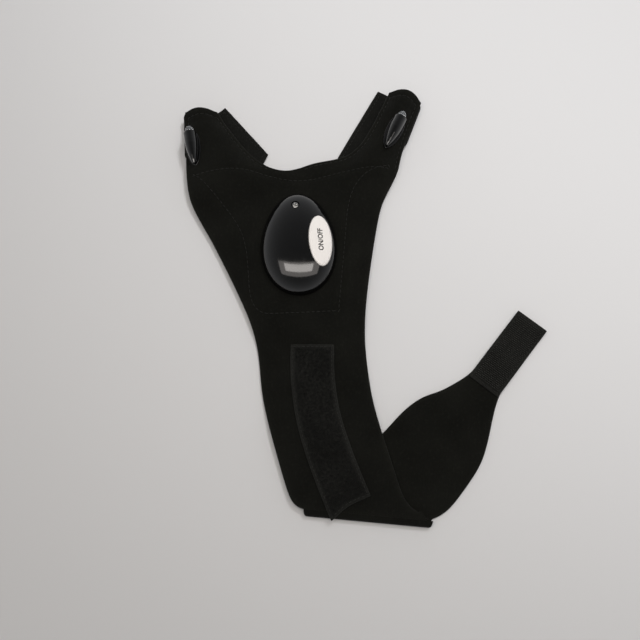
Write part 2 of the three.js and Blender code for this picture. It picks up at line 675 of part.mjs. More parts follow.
function switchBody() {
  const z = BOARD_Z + BOARD[2] + GAP + SWITCH_RISE / 2;
  const body = block([SWITCH_SIZE, SWITCH_SIZE, SWITCH_RISE], [...BUTTON_AT, z]);
  const well = cylinder(PLUNGER_RADIUS + GAP, SWITCH_TOP - SWITCH_WELL, SWITCH_TOP + 1, BUTTON_AT);
  return named("switch_body", body.subtract(well), GREY_PLASTIC);
}

function switchPlunger() {
  const foot = SWITCH_TOP - SWITCH_WELL + BUTTON_TRAVEL + GAP; // so it stops clear of the well's floor
  const rod = cylinder(PLUNGER_RADIUS, foot, PLUNGER_TOP, BUTTON_AT);
  return named("switch_plunger", rod, WHITE_PLASTIC);
}

function boardPart(name, size, across, along, finish) {
  const z = BOARD_Z + BOARD[2] + GAP + size[2] / 2;
  return named(name, block(size, [BOARD_AT[0] + across, BOARD_AT[1] + along, z]), finish);
}

const CELL_Z = PLATE_TOP + 2 * GAP + SPRING_SHEET;

function coinCell(name, index) {
  const z0 = CELL_Z + index * (CELL_RISE + GAP);
  const can = cylinder(CELL_DIAMETER / 2, z0, z0 + CELL_RISE * 0.8, CELL_AT, 32);
  const cap = cylinder(CELL_DIAMETER / 2 - 1.3, z0, z0 + CELL_RISE, CELL_AT, 32);
  return named(name, can.add(cap), STEEL);
}

function contactNegative() {
  const z = PLATE_TOP + GAP + SPRING_SHEET / 2;
  const strip = block([CONTACT_WIDTH, CELL_DIAMETER - 4, SPRING_SHEET], [...CELL_AT, z]);
  return named("contact_negative", strip, SPRING_BRASS);
}

// A bridge over the cells with a foot down to the base plate on each side.
function contactPositive() {
  const top = CELL_Z + 2 * CELL_RISE + 2 * GAP;
  const reach = CELL_DIAMETER / 2 + 2 * GAP + NEST_WALL;
  const span = 2 * (reach + CONTACT_FOOT);
  let made = block([CONTACT_WIDTH, span, SPRING_SHEET], [...CELL_AT, top + SPRING_SHEET / 2]);
  for (const side of [-1, 1]) {
    const foot = PLATE_TOP + GAP;
    const rise = top + SPRING_SHEET - foot;
    const y = CELL_AT[1] + side * (reach + CONTACT_FOOT / 2);
    made = made.add(block([CONTACT_WIDTH, CONTACT_FOOT, rise], [CELL_AT[0], y, foot + rise / 2]));
  }
  return named("contact_positive", made, SPRING_BRASS);
}

function pod() {
  const group = new THREE.Group();
  group.rotation.z = POD_LEAN;
  group.position.y = POD_SHIFT;
  group.add(podBase(), podCover(), button(), coverScrew());
  group.add(circuitBoard(), switchBody(), switchPlunger());
  group.add(boardPart("control_chip", [5, 5, 1.4], 0, 10.5, CHIP_BLACK));
  group.add(boardPart("resistor", [1.8, 3.4, 0.9], -BOARD[0] / 4, -11, RESISTOR_TAN));
  group.add(coinCell("coin_cell_lower", 0), coinCell("coin_cell_upper", 1));
  group.add(contactPositive(), contactNegative());
  return group;
}

// ---------- lights ----------

// Frame of a light: its origin on the fabric's face, +Y to the lens, +Z away from the fabric.
function lightFrame(light) {
  const STEP = 6;
  const face = (x, y) => new THREE.Vector3(x, y, underside(x, y) + FABRIC);
  const [x, y] = light.at;
  const slopeX = face(x + STEP, y).sub(face(x - STEP, y));
  const slopeY = face(x, y + STEP).sub(face(x, y - STEP));
  const up = slopeX.cross(slopeY).normalize();
  const heading = new THREE.Vector3(-Math.sin(light.turn), Math.cos(light.turn), 0);
  const forward = heading.addScaledVector(up, -heading.dot(up)).normalize();
  const right = new THREE.Vector3().crossVectors(forward, up);
  const frame = new THREE.Matrix4().makeBasis(right, forward, up);
  return frame.setPosition(face(x, y).addScaledVector(up, GAP));
}

// A turned shape lying along Y at the barrel's height; profile is [radius, place along Y].
function barrel(profile, sides = 18) {
  const turned = new THREE.LatheGeometry(profile.map(([radius, along]) => at(radius, along)), sides);
  return solid(turned.translate(0, 0, BARREL_AXIS));
}

const LIGHT_FRONT = LIGHT_LENGTH / 2;

function lightHousing(name) {
  const half = LIGHT_WIDTH / 2;
  const leaf = edge(
    [
      at(0, -LIGHT_FRONT),
      at(half * 0.55, -LIGHT_FRONT * 0.72),
      at(half * 0.94, -LIGHT_FRONT * 0.1),
      at(half, LIGHT_FRONT * 0.45),
      at(half * 0.72, LIGHT_FRONT * 0.92),
      at(0, LIGHT_FRONT),
      at(-half * 0.72, LIGHT_FRONT * 0.92),
      at(-half, LIGHT_FRONT * 0.45),
      at(-half * 0.94, -LIGHT_FRONT * 0.1),
      at(-half * 0.55, -LIGHT_FRONT * 0.72),
      at(0, -LIGHT_FRONT),
    ],
    30,
  );
  const plate = prism(leaf.slice(1), 0, LIGHT_PLATE);
  const shell = barrel([
    [0, -LIGHT_FRONT + 1],
    [BARREL_RADIUS * 0.3, -LIGHT_FRONT + 1.2],
    [BARREL_RADIUS * 0.58, -LIGHT_FRONT + 5],
    [BARREL_RADIUS * 0.83, -LIGHT_FRONT + 10],
    [BARREL_RADIUS, -LIGHT_FRONT + 15],
    [BARREL_RADIUS, LIGHT_FRONT - 0.6],
    [BARREL_RADIUS - 0.6, LIGHT_FRONT],
    [0, LIGHT_FRONT],
  ]);
  const above = block([30, 60, 20], [0, 0, 10]);
  const rear = LIGHT_FRONT + LED_SHOW - LED_LENGTH - GAP;
  const bore = barrel([
    [0, -PORT_BACK - WIRE_PORT],
    [LED_RADIUS - 0.6, -PORT_BACK - WIRE_PORT],
    [LED_RADIUS - 0.6, rear - 2],
    [LED_RADIUS + LED_FLANGE + GAP, rear - 1],
    [LED_RADIUS + LED_FLANGE + GAP, rear + 1.6],
    [LED_RADIUS + GAP, rear + 1.7],
    [LED_RADIUS + GAP, LIGHT_FRONT + 1],
    [0, LIGHT_FRONT + 1],
  ]);
  const port = cylinder(WIRE_PORT, -1, BARREL_AXIS, [0, -PORT_BACK], 12);
  const made = plate.add(shell.intersect(above)).subtract(bore).subtract(port);
  return named(name, made, GLOSS_BLACK);
}

function led(name) {
  const tip = LIGHT_FRONT + LED_SHOW;
  const rear = tip - LED_LENGTH;
  const profile = [
    [0, rear],
    [LED_RADIUS + LED_FLANGE, rear],
    [LED_RADIUS + LED_FLANGE, rear + 1],
    [LED_RADIUS, rear + 1],
  ];
  const ROUND = 4;
  for (let i = 0; i <= ROUND; i += 1) {
    const angle = (i / ROUND) * (Math.PI / 2);
    const radius = i === ROUND ? 0 : LED_RADIUS * Math.cos(angle);
    profile.push([radius, tip - LED_RADIUS + LED_RADIUS * Math.sin(angle)]);
  }
  let made = barrel(profile);
  for (const side of [-1, 1]) {
    made = made.add(block([0.5, 2.6, 0.5], [side * 1.0, rear - 1.1, BARREL_AXIS]));
  }
  return named(name, made, CLEAR);
}

// The plate that clamps the fabric from inside the sleeve.
function lightBase(name) {
  const z1 = -GAP - FABRIC - CLAMP_DROP;
  const plate = prism(oval(CLAMP_WIDTH / 2, CLAMP_LENGTH / 2, 0, 24), z1 - CLAMP_PLATE, z1);
  const port = cylinder(WIRE_PORT, z1 - FABRIC, z1 + FABRIC, [0, -PORT_BACK], 12);
  const slot = block([2 * WIRE_PORT, CLAMP_LENGTH, 2 * FABRIC], [0, -PORT_BACK - CLAMP_LENGTH / 2, z1]);
  return named(name, plate.subtract(port).subtract(slot), GREY_PLASTIC);
}

function light(finger, place) {
  const group = new THREE.Group();
  group.applyMatrix4(lightFrame(place));
  group.add(lightHousing(`${finger}_light_housing`), led(`${finger}_led`));
  group.add(lightBase(`${finger}_light_base`));
  return group;
}

// ---------- wires ----------

// From the board, out through the base's foot, under the fabric, and up through the port to the light.
function wire(name, start, angle, place, side, finish) {
  const lean = (point, z) =>
    new THREE.Vector3(...point.clone().rotateAround(at(0, 0), POD_LEAN).add(at(0, POD_SHIFT)).toArray(), z);
  const offset = (side * WIRE_PITCH) / 2;
  const wall = -INNER - BASE_WALL;
  const frame = lightFrame(place);
  const local = (along, up) => new THREE.Vector3(-offset * 0.75, along, up).applyMatrix4(frame);
  const port = local(-PORT_BACK, 0);
  const leave = lean(exitPoint(angle, FLANGE + 1, offset), WIRE_Z);
  const under = [];
  const STEPS = 7;
  for (let i = 1; i < STEPS; i += 1) {
    const share = i / STEPS;
    const x = mix(leave.x, port.x, share);
    const y = mix(leave.y, port.y, share);
    under.push(new THREE.Vector3(x, y, underside(x, y) - GAP - 1.5 * WIRE_RADIUS));
  }
  const route = new THREE.CatmullRomCurve3([
    lean(start, BOARD_Z + 0.5),
    lean(exitPoint(angle, wall - EXIT_RUN + 1, offset), PLATE_TOP + GAP + WIRE_RADIUS),
    lean(exitPoint(angle, wall - 1, offset), WIRE_Z),
    leave,
    ...under,
    local(-PORT_BACK - 0.3, -FABRIC - GAP - 2.4 * WIRE_RADIUS),
    local(-PORT_BACK, -FABRIC / 2),
    local(-PORT_BACK, BARREL_AXIS / 2),
  ]);
  const ring = new THREE.Shape(oval(WIRE_RADIUS, WIRE_RADIUS, 0, 6));
  const tube = new THREE.ExtrudeGeometry(ring, { steps: 32, extrudePath: route, bevelEnabled: false });
  return named(name, solid(tube), finish);
}

function wires() {
  const group = new THREE.Group();
  const boardEnd = BOARD_AT[1] + BOARD[1] / 2 + GAP + WIRE_RADIUS;
  // Solder pads at the end of the board; the thumb pair is stepped so that its wires clear each other.
  const pad = (across, step) => at(BOARD_AT[0] + across, boardEnd + step);
  group.add(wire("thumb_red_wire", pad(-4, 0), EXITS.thumb, THUMB_LIGHT, 1, RED_WIRE));
  group.add(wire("thumb_black_wire", pad(-2.2, 1.6), EXITS.thumb, THUMB_LIGHT, -1, BLACK_WIRE));
  group.add(wire("index_red_wire", pad(0, 0), EXITS.index, INDEX_LIGHT, 1, RED_WIRE));
  group.add(wire("index_black_wire", pad(2.2, 0), EXITS.index, INDEX_LIGHT, -1, BLACK_WIRE));
  return group;
}

// ---------- assembly ----------

const glove = new THREE.Group();
glove.add(dorsalPanel(), liningPatch());
glove.add(sleeveBand("thumb_band", THUMB, 1, 1.28), sleeveBand("index_band", INDEX, -1, 1.6));
glove.add(strapFold(), strapTail(), loopStrip(), hookTab());
glove.add(pod(), light("thumb", THUMB_LIGHT), light("index", INDEX_LIGHT), wires());

export default glove;
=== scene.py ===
"""Studio model of a fingerless torch glove for the right hand.

A foam-backed knit panel carries a thumb sleeve, an index sleeve, a battery pod and a wrist strap that is
folded under near its end. Every piece stands in the frame of the CAD assembly, in metres, +Z up.
"""
import logging
import math
from dataclasses import dataclass, field
from enum import Enum
from typing import Callable, Optional, Sequence

import bmesh
import bpy
import numpy as np
from mathutils import Matrix, Vector, geometry, noise
from mathutils.bvhtree import BVHTree


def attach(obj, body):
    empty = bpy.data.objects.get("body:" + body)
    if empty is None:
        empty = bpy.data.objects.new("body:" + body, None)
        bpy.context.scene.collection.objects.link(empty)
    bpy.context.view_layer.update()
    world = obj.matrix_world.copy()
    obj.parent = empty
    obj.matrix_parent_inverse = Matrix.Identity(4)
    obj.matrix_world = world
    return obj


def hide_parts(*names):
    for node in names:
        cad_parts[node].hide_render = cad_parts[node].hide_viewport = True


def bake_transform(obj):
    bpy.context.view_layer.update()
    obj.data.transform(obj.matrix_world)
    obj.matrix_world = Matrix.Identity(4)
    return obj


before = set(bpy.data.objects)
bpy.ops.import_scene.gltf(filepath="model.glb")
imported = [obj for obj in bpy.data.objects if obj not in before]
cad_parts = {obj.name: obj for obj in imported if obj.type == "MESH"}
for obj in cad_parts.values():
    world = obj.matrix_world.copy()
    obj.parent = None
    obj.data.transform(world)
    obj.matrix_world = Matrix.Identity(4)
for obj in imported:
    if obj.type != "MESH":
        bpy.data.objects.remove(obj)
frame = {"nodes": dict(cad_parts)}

log = logging.getLogger("torch_glove")

MM = 0.001
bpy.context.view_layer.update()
Plan = np.ndarray  # rows of x, y
Piece = bpy.types.Object
Tree = bpy.types.NodeTree
Node = bpy.types.Node
Socket = bpy.types.NodeSocket

# -------- shared sizes

GAP = 0.3 * MM  # between pieces that touch
FABRIC = 2.0 * MM  # foam-backed knit
OVERHEAD = 0.1  # a height above every piece, from which surfaces are felt for
FLUSH_CREASE = 62.0  # degrees: a cloth's flush rim stays sharp and its rounded rim smooth
FOLD_MIDDLE = np.array([39.2, -161.4]) * MM
FOLD_TURN = math.radians(-5.2)
FOLD_ALONG = np.array([math.cos(FOLD_TURN), math.sin(FOLD_TURN)])
FOLD_ACROSS = np.array([-math.sin(FOLD_TURN), math.cos(FOLD_TURN)])


class Body(str, Enum):
    """The moving bodies of the glove."""

    ROOT = "root"
    COVER = "cover"
    SCREW = "screw"
    BUTTON = "button"
    PLUNGER = "plunger"
    TAIL = "tail"


class Slot(str, Enum):
    """The finishes that the record names."""

    KNIT = "knit_fabric"
    STRETCH = "stretch_fabric"
    PILE = "loop_pile"
    HOOKS = "hook_tape"
    GREY = "grey_plastic"
    GLOSS = "gloss_black"
    WHITE = "white_plastic"
    STEEL = "steel"
    BRASS = "spring_metal"
    BOARD = "board_green"
    CHIP = "chip_black"
    RESISTOR = "resistor_tan"
    RESIN = "clear_resin"
    RED = "red_wire"
    BLACK = "black_wire"


# -------- materials


def linear(shade: str, alpha: float = 1.0) -> tuple[float, float, float, float]:
    """Turn an sRGB hex colour into linear RGBA.

    Args:
        shade: colour as "#rrggbb".
        alpha: opacity.

    Returns:
        The four linear values.
    """
    parts = [int(shade[i : i + 2], 16) / 255 for i in (1, 3, 5)]
    flat = [c / 12.92 if c <= 0.04045 else ((c + 0.055) / 1.055) ** 2.4 for c in parts]
    return (flat[0], flat[1], flat[2], alpha)


def add(tree: Tree, kind: str, feeds: Optional[dict] = None, **settings) -> Node:
    """Add a node with its settings and links.

    Args:
        tree: the tree it goes into.
        kind: the node's type name.
        feeds: socket or value for each input, by name or number.
        **settings: the node's own properties.

    Returns:
        The new node.
    """
    made = tree.nodes.new(kind)
    for name, value in settings.items():
        setattr(made, name, value)
    for key, value in (feeds or {}).items():
        if isinstance(value, Socket):
            tree.links.new(value, made.inputs[key])
        else:
            made.inputs[key].default_value = value
    return made


def wave_scale(pitch: float) -> float:
    """Scale that gives a wave texture one crest every pitch metres."""
    return 2 * math.pi / 20 / pitch


@dataclass(frozen=True)
class Finish:
    """A surface finish. Subclasses add what their real surface shows."""

    name: str
    colour: str
    roughness: float

    def material(self) -> bpy.types.Material:
        """Make the material, or find it when it was made before.

        Returns:
            The node-based material.
        """
        known = bpy.data.materials.get(self.name)
        if known:
            return known
        made = bpy.data.materials.new(self.name)
        made.use_nodes = True
        made.diffuse_color = linear(self.colour)
        tree = made.node_tree
        tree.nodes.clear()
        shader = add(tree, "ShaderNodeBsdfPrincipled", {"Base Color": linear(self.colour)})
        shader.inputs["Roughness"].default_value = self.roughness
        add(tree, "ShaderNodeOutputMaterial", {"Surface": shader.outputs["BSDF"]})
        self.dress(tree, shader)
        return made

    def dress(self, tree: Tree, shader: Node) -> None:
        """Add the detail of the real surface.

        Args:
            tree: the material's tree.
            shader: its shader.
        """

    def grain(self, tree: Tree, size: float, detail: float = 3.0, uv: bool = False) -> Socket:
        """Noise with features of a real size.

        Args:
            tree: the material's tree.
            size: feature size in metres.
            detail: octaves.
            uv: follow the cloth's own plan instead of the object.

        Returns:
            The noise value socket.
        """
        where = self.place(tree, uv)
        made = add(tree, "ShaderNodeTexNoise", {"Vector": where, "Scale": 1 / size, "Detail": detail})
        return made.outputs["Fac"]

    @staticmethod
    def place(tree: Tree, uv: bool) -> Socket:
        """Coordinates in metres: of the cloth's plan, or of the object.

        Args:
            tree: the material's tree.
            uv: whether they follow the cloth's plan.

        Returns:
            The coordinate socket.
        """
        if uv:
            return add(tree, "ShaderNodeUVMap", uv_map="cloth").outputs["UV"]
        return add(tree, "ShaderNodeTexCoord").outputs["Object"]

    def tint(self, tree: Tree, shader: Node, share: Socket, second: str) -> None:
        """Blend the finish's colour with a second one and feed the shader with it.

        Args:
            tree: the material's tree.
            shader: its shader.
            share: share of the second colour.
            second: the second colour as "#rrggbb".
        """
        made = add(tree, "ShaderNodeMix", {0: share}, data_type="RGBA")
        made.inputs[6].default_value = linear(self.colour)
        made.inputs[7].default_value = linear(second)
        tree.links.new(made.outputs[2], shader.inputs["Base Color"])

    @staticmethod
    def spread(tree: Tree, value: Socket, low: float, high: float, start: float = 0.3,
               end: float = 0.7) -> Socket:
        """Map a value's range onto another."""
        feeds = {"Value": value, "From Min": start, "From Max": end, "To Min": low, "To Max": high}
        return add(tree, "ShaderNodeMapRange", feeds).outputs["Result"]

    @staticmethod
    def relief(tree: Tree, shader: Node, height: Socket, depth: float) -> None:
        """Feed a height socket into the shader as bump of a real depth in metres."""
        bump = add(tree, "ShaderNodeBump", {"Height": height, "Distance": depth, "Strength": 1.0})
        tree.links.new(bump.outputs["Normal"], shader.inputs["Normal"])


@dataclass(frozen=True)
class KnitCloth(Finish):
    """Knitted cloth: rows of loops, a soft nap, and lint that catches light."""

    lint: str = "#2b2b27"
    pitch: float = 0.9 * MM
    depth: float = 0.12 * MM
    nap: float = 0.04

    def dress(self, tree: Tree, shader: Node) -> None:
        """Ribs across, courses along, worn edges and lint.

        Args:
            tree: the material's tree.
            shader: its shader.
        """
        where = self.place(tree, True)
        shader.inputs["Sheen Weight"].default_value = self.nap
        shader.inputs["Sheen Roughness"].default_value = 0.45
        shader.inputs["Specular IOR Level"].default_value = 0.12
        rows = []
        for way, pitch in (("X", self.pitch), ("Y", self.pitch * 0.72)):
            feeds = {"Vector": where, "Scale": wave_scale(pitch), "Distortion": 0.8, "Detail": 1.0,
                     "Detail Scale": 0.4}
            rows.append(add(tree, "ShaderNodeTexWave", feeds, bands_direction=way).outputs["Fac"])
        knit = add(tree, "ShaderNodeMath", {0: rows[0], 1: rows[1]}, operation="MULTIPLY").outputs[0]
        fuzz = self.grain(tree, 0.5 * MM, 4.0, True)
        height = add(tree, "ShaderNodeMath", {0: knit, 1: fuzz}, operation="ADD").outputs[0]
        self.relief(tree, shader, height, self.depth)
        lint = self.spread(tree, self.grain(tree, 1.6 * MM, 6.0, True), 0.0, 0.5, 0.52, 0.8)
        fade = self.spread(tree, self.grain(tree, 24 * MM, 3.0, True), 0.0, 0.35)
        worn = add(tree, "ShaderNodeAttribute", attribute_name="wear").outputs["Fac"]
        total = add(tree, "ShaderNodeMath", {0: lint, 1: fade}, operation="ADD").outputs[0]
        total = add(tree, "ShaderNodeMath", {0: total, 1: worn}, operation="ADD", use_clamp=True).outputs[0]
        self.tint(tree, shader, total, self.lint)
        rough = self.spread(tree, fuzz, self.roughness - 0.08, min(1.0, self.roughness + 0.05))
        tree.links.new(rough, shader.inputs["Roughness"])


@dataclass(frozen=True)
class Fibre(Finish):
    """Loose fibre or thread: colour that varies from strand to strand, with a soft gloss."""

    light: str = "#2a2a28"
    size: float = 0.8 * MM
    nap: float = 0.06

    def dress(self, tree: Tree, shader: Node) -> None:
        """Strand to strand variation and a twisted surface.

        Args:
            tree: the material's tree.
            shader: its shader.
        """
        shader.inputs["Sheen Weight"].default_value = self.nap
        shader.inputs["Specular IOR Level"].default_value = 0.25
        strands = self.spread(tree, self.grain(tree, self.size, 2.0), 0.0, 1.0, 0.35, 0.7)
        self.tint(tree, shader, strands, self.light)
        self.relief(tree, shader, self.grain(tree, 0.15 * MM, 2.0), 0.03 * MM)


@dataclass(frozen=True)
class MouldedPlastic(Finish):
    """Injection-moulded plastic: a fine mould texture, smudges in its gloss, and dust."""

    light: str = "#1a1a1a"
    texture: float = 0.0
    smudge: float = 0.05
    dust: float = 0.1
    coat: float = 0.0

    def dress(self, tree: Tree, shader: Node) -> None:
        """Mould grain, smudges and dust.

        Args:
            tree: the material's tree.
            shader: its shader.
        """
        shader.inputs["IOR"].default_value = 1.54
        shader.inputs["Coat Weight"].default_value = self.coat
        shader.inputs["Coat Roughness"].default_value = 0.04
        smear = self.grain(tree, 9 * MM, 4.0)
        rough = self.spread(tree, smear, self.roughness, self.roughness + self.smudge)
        tree.links.new(rough, shader.inputs["Roughness"])
        dust = self.spread(tree, self.grain(tree, 0.9 * MM, 8.0), 0.0, self.dust, 0.6, 0.78)
        self.tint(tree, shader, dust, self.light)
        if self.texture > 0:
            self.relief(tree, shader, self.grain(tree, 0.35 * MM, 3.0), self.texture)


@dataclass(frozen=True)
class PlatedMetal(Finish):
    """Plated or rolled metal: drawn lines, a little tarnish."""

    tarnish: str = "#8a8a88"

    def dress(self, tree: Tree, shader: Node) -> None:
        """Drawn lines in the gloss and faint tarnish.

        Args:
            tree: the material's tree.
            shader: its shader.
        """
        shader.inputs["Metallic"].default_value = 1.0
        where = self.place(tree, False)
        stretched = add(tree, "ShaderNodeMapping", {"Vector": where, "Scale": (1.0, 0.08, 1.0)})
        lines = add(tree, "ShaderNodeTexNoise", {"Vector": stretched.outputs["Vector"], "Scale": 5000.0})
        rough = self.spread(tree, lines.outputs["Fac"], self.roughness - 0.07, self.roughness + 0.1)
        tree.links.new(rough, shader.inputs["Roughness"])
        aged = self.spread(tree, self.grain(tree, 3 * MM, 4.0), 0.0, 0.5)
        self.tint(tree, shader, aged, self.tarnish)


@dataclass(frozen=True)
class ClearResin(Finish):
    """Water-clear epoxy: smooth, with faint flow lines."""

    def dress(self, tree: Tree, shader: Node) -> None:
        """Transmission with the resin's own index and faint flow lines.

        Args:
            tree: the material's tree.
            shader: its shader.
        """
        shader.inputs["Transmission Weight"].default_value = 0.9
        shader.inputs["IOR"].default_value = 1.53
        self.relief(tree, shader, self.grain(tree, 1.5 * MM, 2.0), 0.01 * MM)


@dataclass(frozen=True)
class SolderMask(Finish):
    """A circuit board's lacquer: copper tracks show as lighter lines under the green."""

    track: str = "#2f7a4a"

    def dress(self, tree: Tree, shader: Node) -> None:
        """Tracks at 1.27 mm pitch, half of them broken off.

        Args:
            tree: the material's tree.
            shader: its shader.
        """
        feeds = {"Vector": self.place(tree, False), "Scale": wave_scale(1.27 * MM), "Distortion": 0.0}
        lines = add(tree, "ShaderNodeTexWave", feeds, bands_direction="X").outputs["Fac"]
        gaps = self.spread(tree, self.grain(tree, 4 * MM, 1.0), 0.0, 1.0, 0.48, 0.52)
        shown = add(tree, "ShaderNodeMath", {0: lines, 1: gaps}, operation="MULTIPLY").outputs[0]
        shown = self.spread(tree, shown, 0.0, 1.0, 0.6, 0.7)
        self.tint(tree, shader, shown, self.track)
        self.relief(tree, shader, shown, 0.035 * MM)


# Polyester jersey bonded to neoprene foam: dead matt near-black, a hint of nap at grazing angles.
KNIT = KnitCloth("Polyester jersey on neoprene foam", "#0e0e0b", 0.95, lint="#1e1e1a")
# Elastane rib knit: slightly smoother and cooler than the jersey, ribs wide enough to show.
STRETCH = KnitCloth("Elastane rib knit", "#10100e", 0.92, lint="#22221f", pitch=1.4 * MM, depth=0.2 * MM)
# Woven nylon tape: tighter than knit, with lighter selvedges.
WOVEN = KnitCloth("Woven nylon tape", "#141412", 0.85, lint="#2c2c29", pitch=0.7 * MM, depth=0.1 * MM)
# Brushed nylon loops: they swallow light, so the strip looks darker than the cloth round it.
LOOPS = Fibre("Brushed nylon loop pile", "#060605", 0.95, light="#10100e", nap=0.02)
# Cut nylon monofilament: coarse, slightly glossy, so the tape looks rough and greyer.
BRISTLE = Fibre("Nylon monofilament hooks", "#1c1c1a", 0.5, light="#3e3e3a", size=1.2 * MM)
# Bonded polyester sewing thread: a touch glossier than the cloth.
THREAD = Fibre("Bonded polyester sewing thread", "#141412", 0.6, light="#262623", size=0.6 * MM)
# Polished black ABS: mirror gloss from a polished mould, with faint smudges.
GLOSS = MouldedPlastic("Polished black ABS", "#060606", 0.07, light="#3a3a38", smudge=0.06, dust=0.2,
                       coat=0.4)
# White ABS, satin: fine spark-eroded mould texture, slightly warm.
WHITE = MouldedPlastic("Satin white ABS", "#f4efe9", 0.38, light="#cfc8bd", texture=0.01 * MM, dust=0.3)
# Dark grey ABS, matt: texture-moulded inner parts.
GREY = MouldedPlastic("Matt grey ABS", "#3a3b3e", 0.55, light="#55565a", texture=0.03 * MM, dust=0.2)
# Nickel-plated steel: bright, drawn.
STEEL = PlatedMetal("Nickel-plated steel", "#d2d2cf", 0.26)
# Spring brass sheet: warm, rolled.
BRASS = PlatedMetal("Spring brass sheet", "#c9a55a", 0.3, tarnish="#8d6f38")
# Glass-epoxy board under green solder mask.
BOARD = SolderMask("Green solder mask on glass epoxy", "#14502c", 0.35)
# Transfer-moulded epoxy of a chip: grey-black and pitted.
CHIP = MouldedPlastic("Black moulded epoxy", "#191919", 0.6, light="#3c3c3c", texture=0.04 * MM, dust=0.2)
# Lacquered ceramic of a resistor.
CERAMIC = MouldedPlastic("Tan lacquered ceramic", "#c8a878", 0.4, light="#a58559", texture=0.02 * MM,
                         dust=0.6)
# Water-clear epoxy of a 5 mm diode.
RESIN = ClearResin("Water-clear epoxy", "#f7fbff", 0.03)
# Reflector cup: bright silvered lead frame seen through the resin.
SILVER = PlatedMetal("Silvered lead frame", "#f2f2ee", 0.18, tarnish="#d0d0cc")
# PVC insulation of hook-up wire.
RED_PVC = MouldedPlastic("Red PVC insulation", "#a81a18", 0.42, light="#7d1412", texture=0.01 * MM)
BLACK_PVC = MouldedPlastic("Black PVC insulation", "#121212", 0.42, light="#2c2c2c", texture=0.01 * MM)
# Pad-printed ink: matt black on the white button.
INK = MouldedPlastic("Pad-printed black ink", "#1b1b1c", 0.6, light="#3a3a3a", texture=0.005 * MM)
# Seamless paper under the object.
PAPER = MouldedPlastic("Pale grey backdrop paper", "#dcdbda", 0.95, light="#d6d5d4", texture=0.02 * MM,
                       dust=0.3)

# Lock stitches: pitch, and length and width of the thread that shows.
PANEL_STITCH = {"Pitch": 3.1 * MM, "Length": 2.4 * MM, "Width": 0.45 * MM}
BAND_STITCH = {"Pitch": 2.8 * MM, "Length": 2.1 * MM, "Width": 0.4 * MM}
TAPE_STITCH = {"Pitch": 2.6 * MM, "Length": 2.0 * MM, "Width": 0.38 * MM}


# -------- plan geometry


def segments(path: Plan, closed: bool) -> tuple[Plan, Plan]:
    """Starts and ends of a path's segments.

    Args:
        path: plan points.
        closed: whether the last joins the first.

    Returns:
        The starts and the ends, row by row.
    """
    if closed:
        return path, np.roll(path, -1, axis=0)
    return path[:-1], path[1:]


def distance(points: Plan, path: Plan, closed: bool = True) -> np.ndarray:
    """Distance of each point from a path.

    Args:
        points: points to measure.
        path: the path's points.
        closed: whether the last point joins the first.

    Returns:
        One distance for each point.
    """
    nearest = np.full(len(points), 1e9)
    for start, end in zip(*segments(path, closed)):
        run = end - start
        size = float(run @ run) or 1e-18
        share = np.clip(((points - start) @ run) / size, 0, 1)
        nearest = np.minimum(nearest, np.linalg.norm(points - start - share[:, None] * run, axis=1))
    return nearest


def within(points: Plan, loop: Plan) -> np.ndarray:
    """Which points lie inside a closed loop.

    Args:
        points: plan points.
        loop: the loop's points.

    Returns:
        True for each point inside.
    """
    x, y = points[:, 0], points[:, 1]
    inside = np.zeros(len(points), bool)
    for (x0, y0), (x1, y1) in zip(*segments(loop, True)):
        if y0 == y1:
            continue
        spans = (y0 > y) != (y1 > y)
        inside ^= spans & (x < (x1 - x0) * (y - y0) / (y1 - y0) + x0)
    return inside


def even(path: Plan, step: float, closed: bool = True) -> Plan:
    """Points at an even spacing along a path.

    Args:
        path: plan points.
        step: spacing wanted.
        closed: whether the last joins the first.

    Returns:
        The new points.
    """
    line = np.vstack([path, path[:1]]) if closed else path
    run = np.concatenate([[0], np.cumsum(np.linalg.norm(np.diff(line, axis=0), axis=1))])
    count = max(3, int(round(run[-1] / step)))
    places = np.linspace(0, run[-1], count + 1)
    if closed:
        places = places[:-1]
    return np.column_stack([np.interp(places, run, line[:, k]) for k in (0, 1)])


def relaxed(loop: Plan, step: float, rounds: int = 16) -> Plan:
    """Smooth a closed loop but keep its sharp corners where they are.

    Args:
        loop: plan points.
        step: spacing of the result.
        rounds: rounds of smoothing.

    Returns:
        The smooth loop.
    """
    before = loop - np.roll(loop, 1, axis=0)
    after = np.roll(loop, -1, axis=0) - loop
    sizes = np.linalg.norm(before, axis=1) * np.linalg.norm(after, axis=1)
    sharpest_curve = math.cos(math.radians(40))
    corners = loop[(before * after).sum(1) / (sizes + 1e-12) < sharpest_curve]
    points = even(loop, step)
    give = np.full(len(points), 0.5)
    for corner in corners:
        nearest = int(np.argmin(np.linalg.norm(points - corner, axis=1)))
        points[nearest] = corner
        give[nearest] = 0.0
    for _ in range(rounds):
        middle = (np.roll(points, 1, axis=0) + np.roll(points, -1, axis=0)) / 2
        points = points + (middle - points) * give[:, None]
    return points


def inset(loop: Plan, amount: float) -> Plan:
    """Move a closed loop inwards, or outwards when amount is below zero.

    Args:
        loop: plan points.
        amount: distance.

    Returns:
        The moved loop.
    """
    run = np.roll(loop, -1, axis=0) - np.roll(loop, 1, axis=0)
    run /= np.linalg.norm(run, axis=1)[:, None] + 1e-12
    area = 0.5 * np.sum(loop[:, 0] * np.roll(loop[:, 1], -1) - loop[:, 1] * np.roll(loop[:, 0], -1))
    inwards = np.column_stack([-run[:, 1], run[:, 0]]) * (1 if area > 0 else -1)
    return loop + inwards * amount


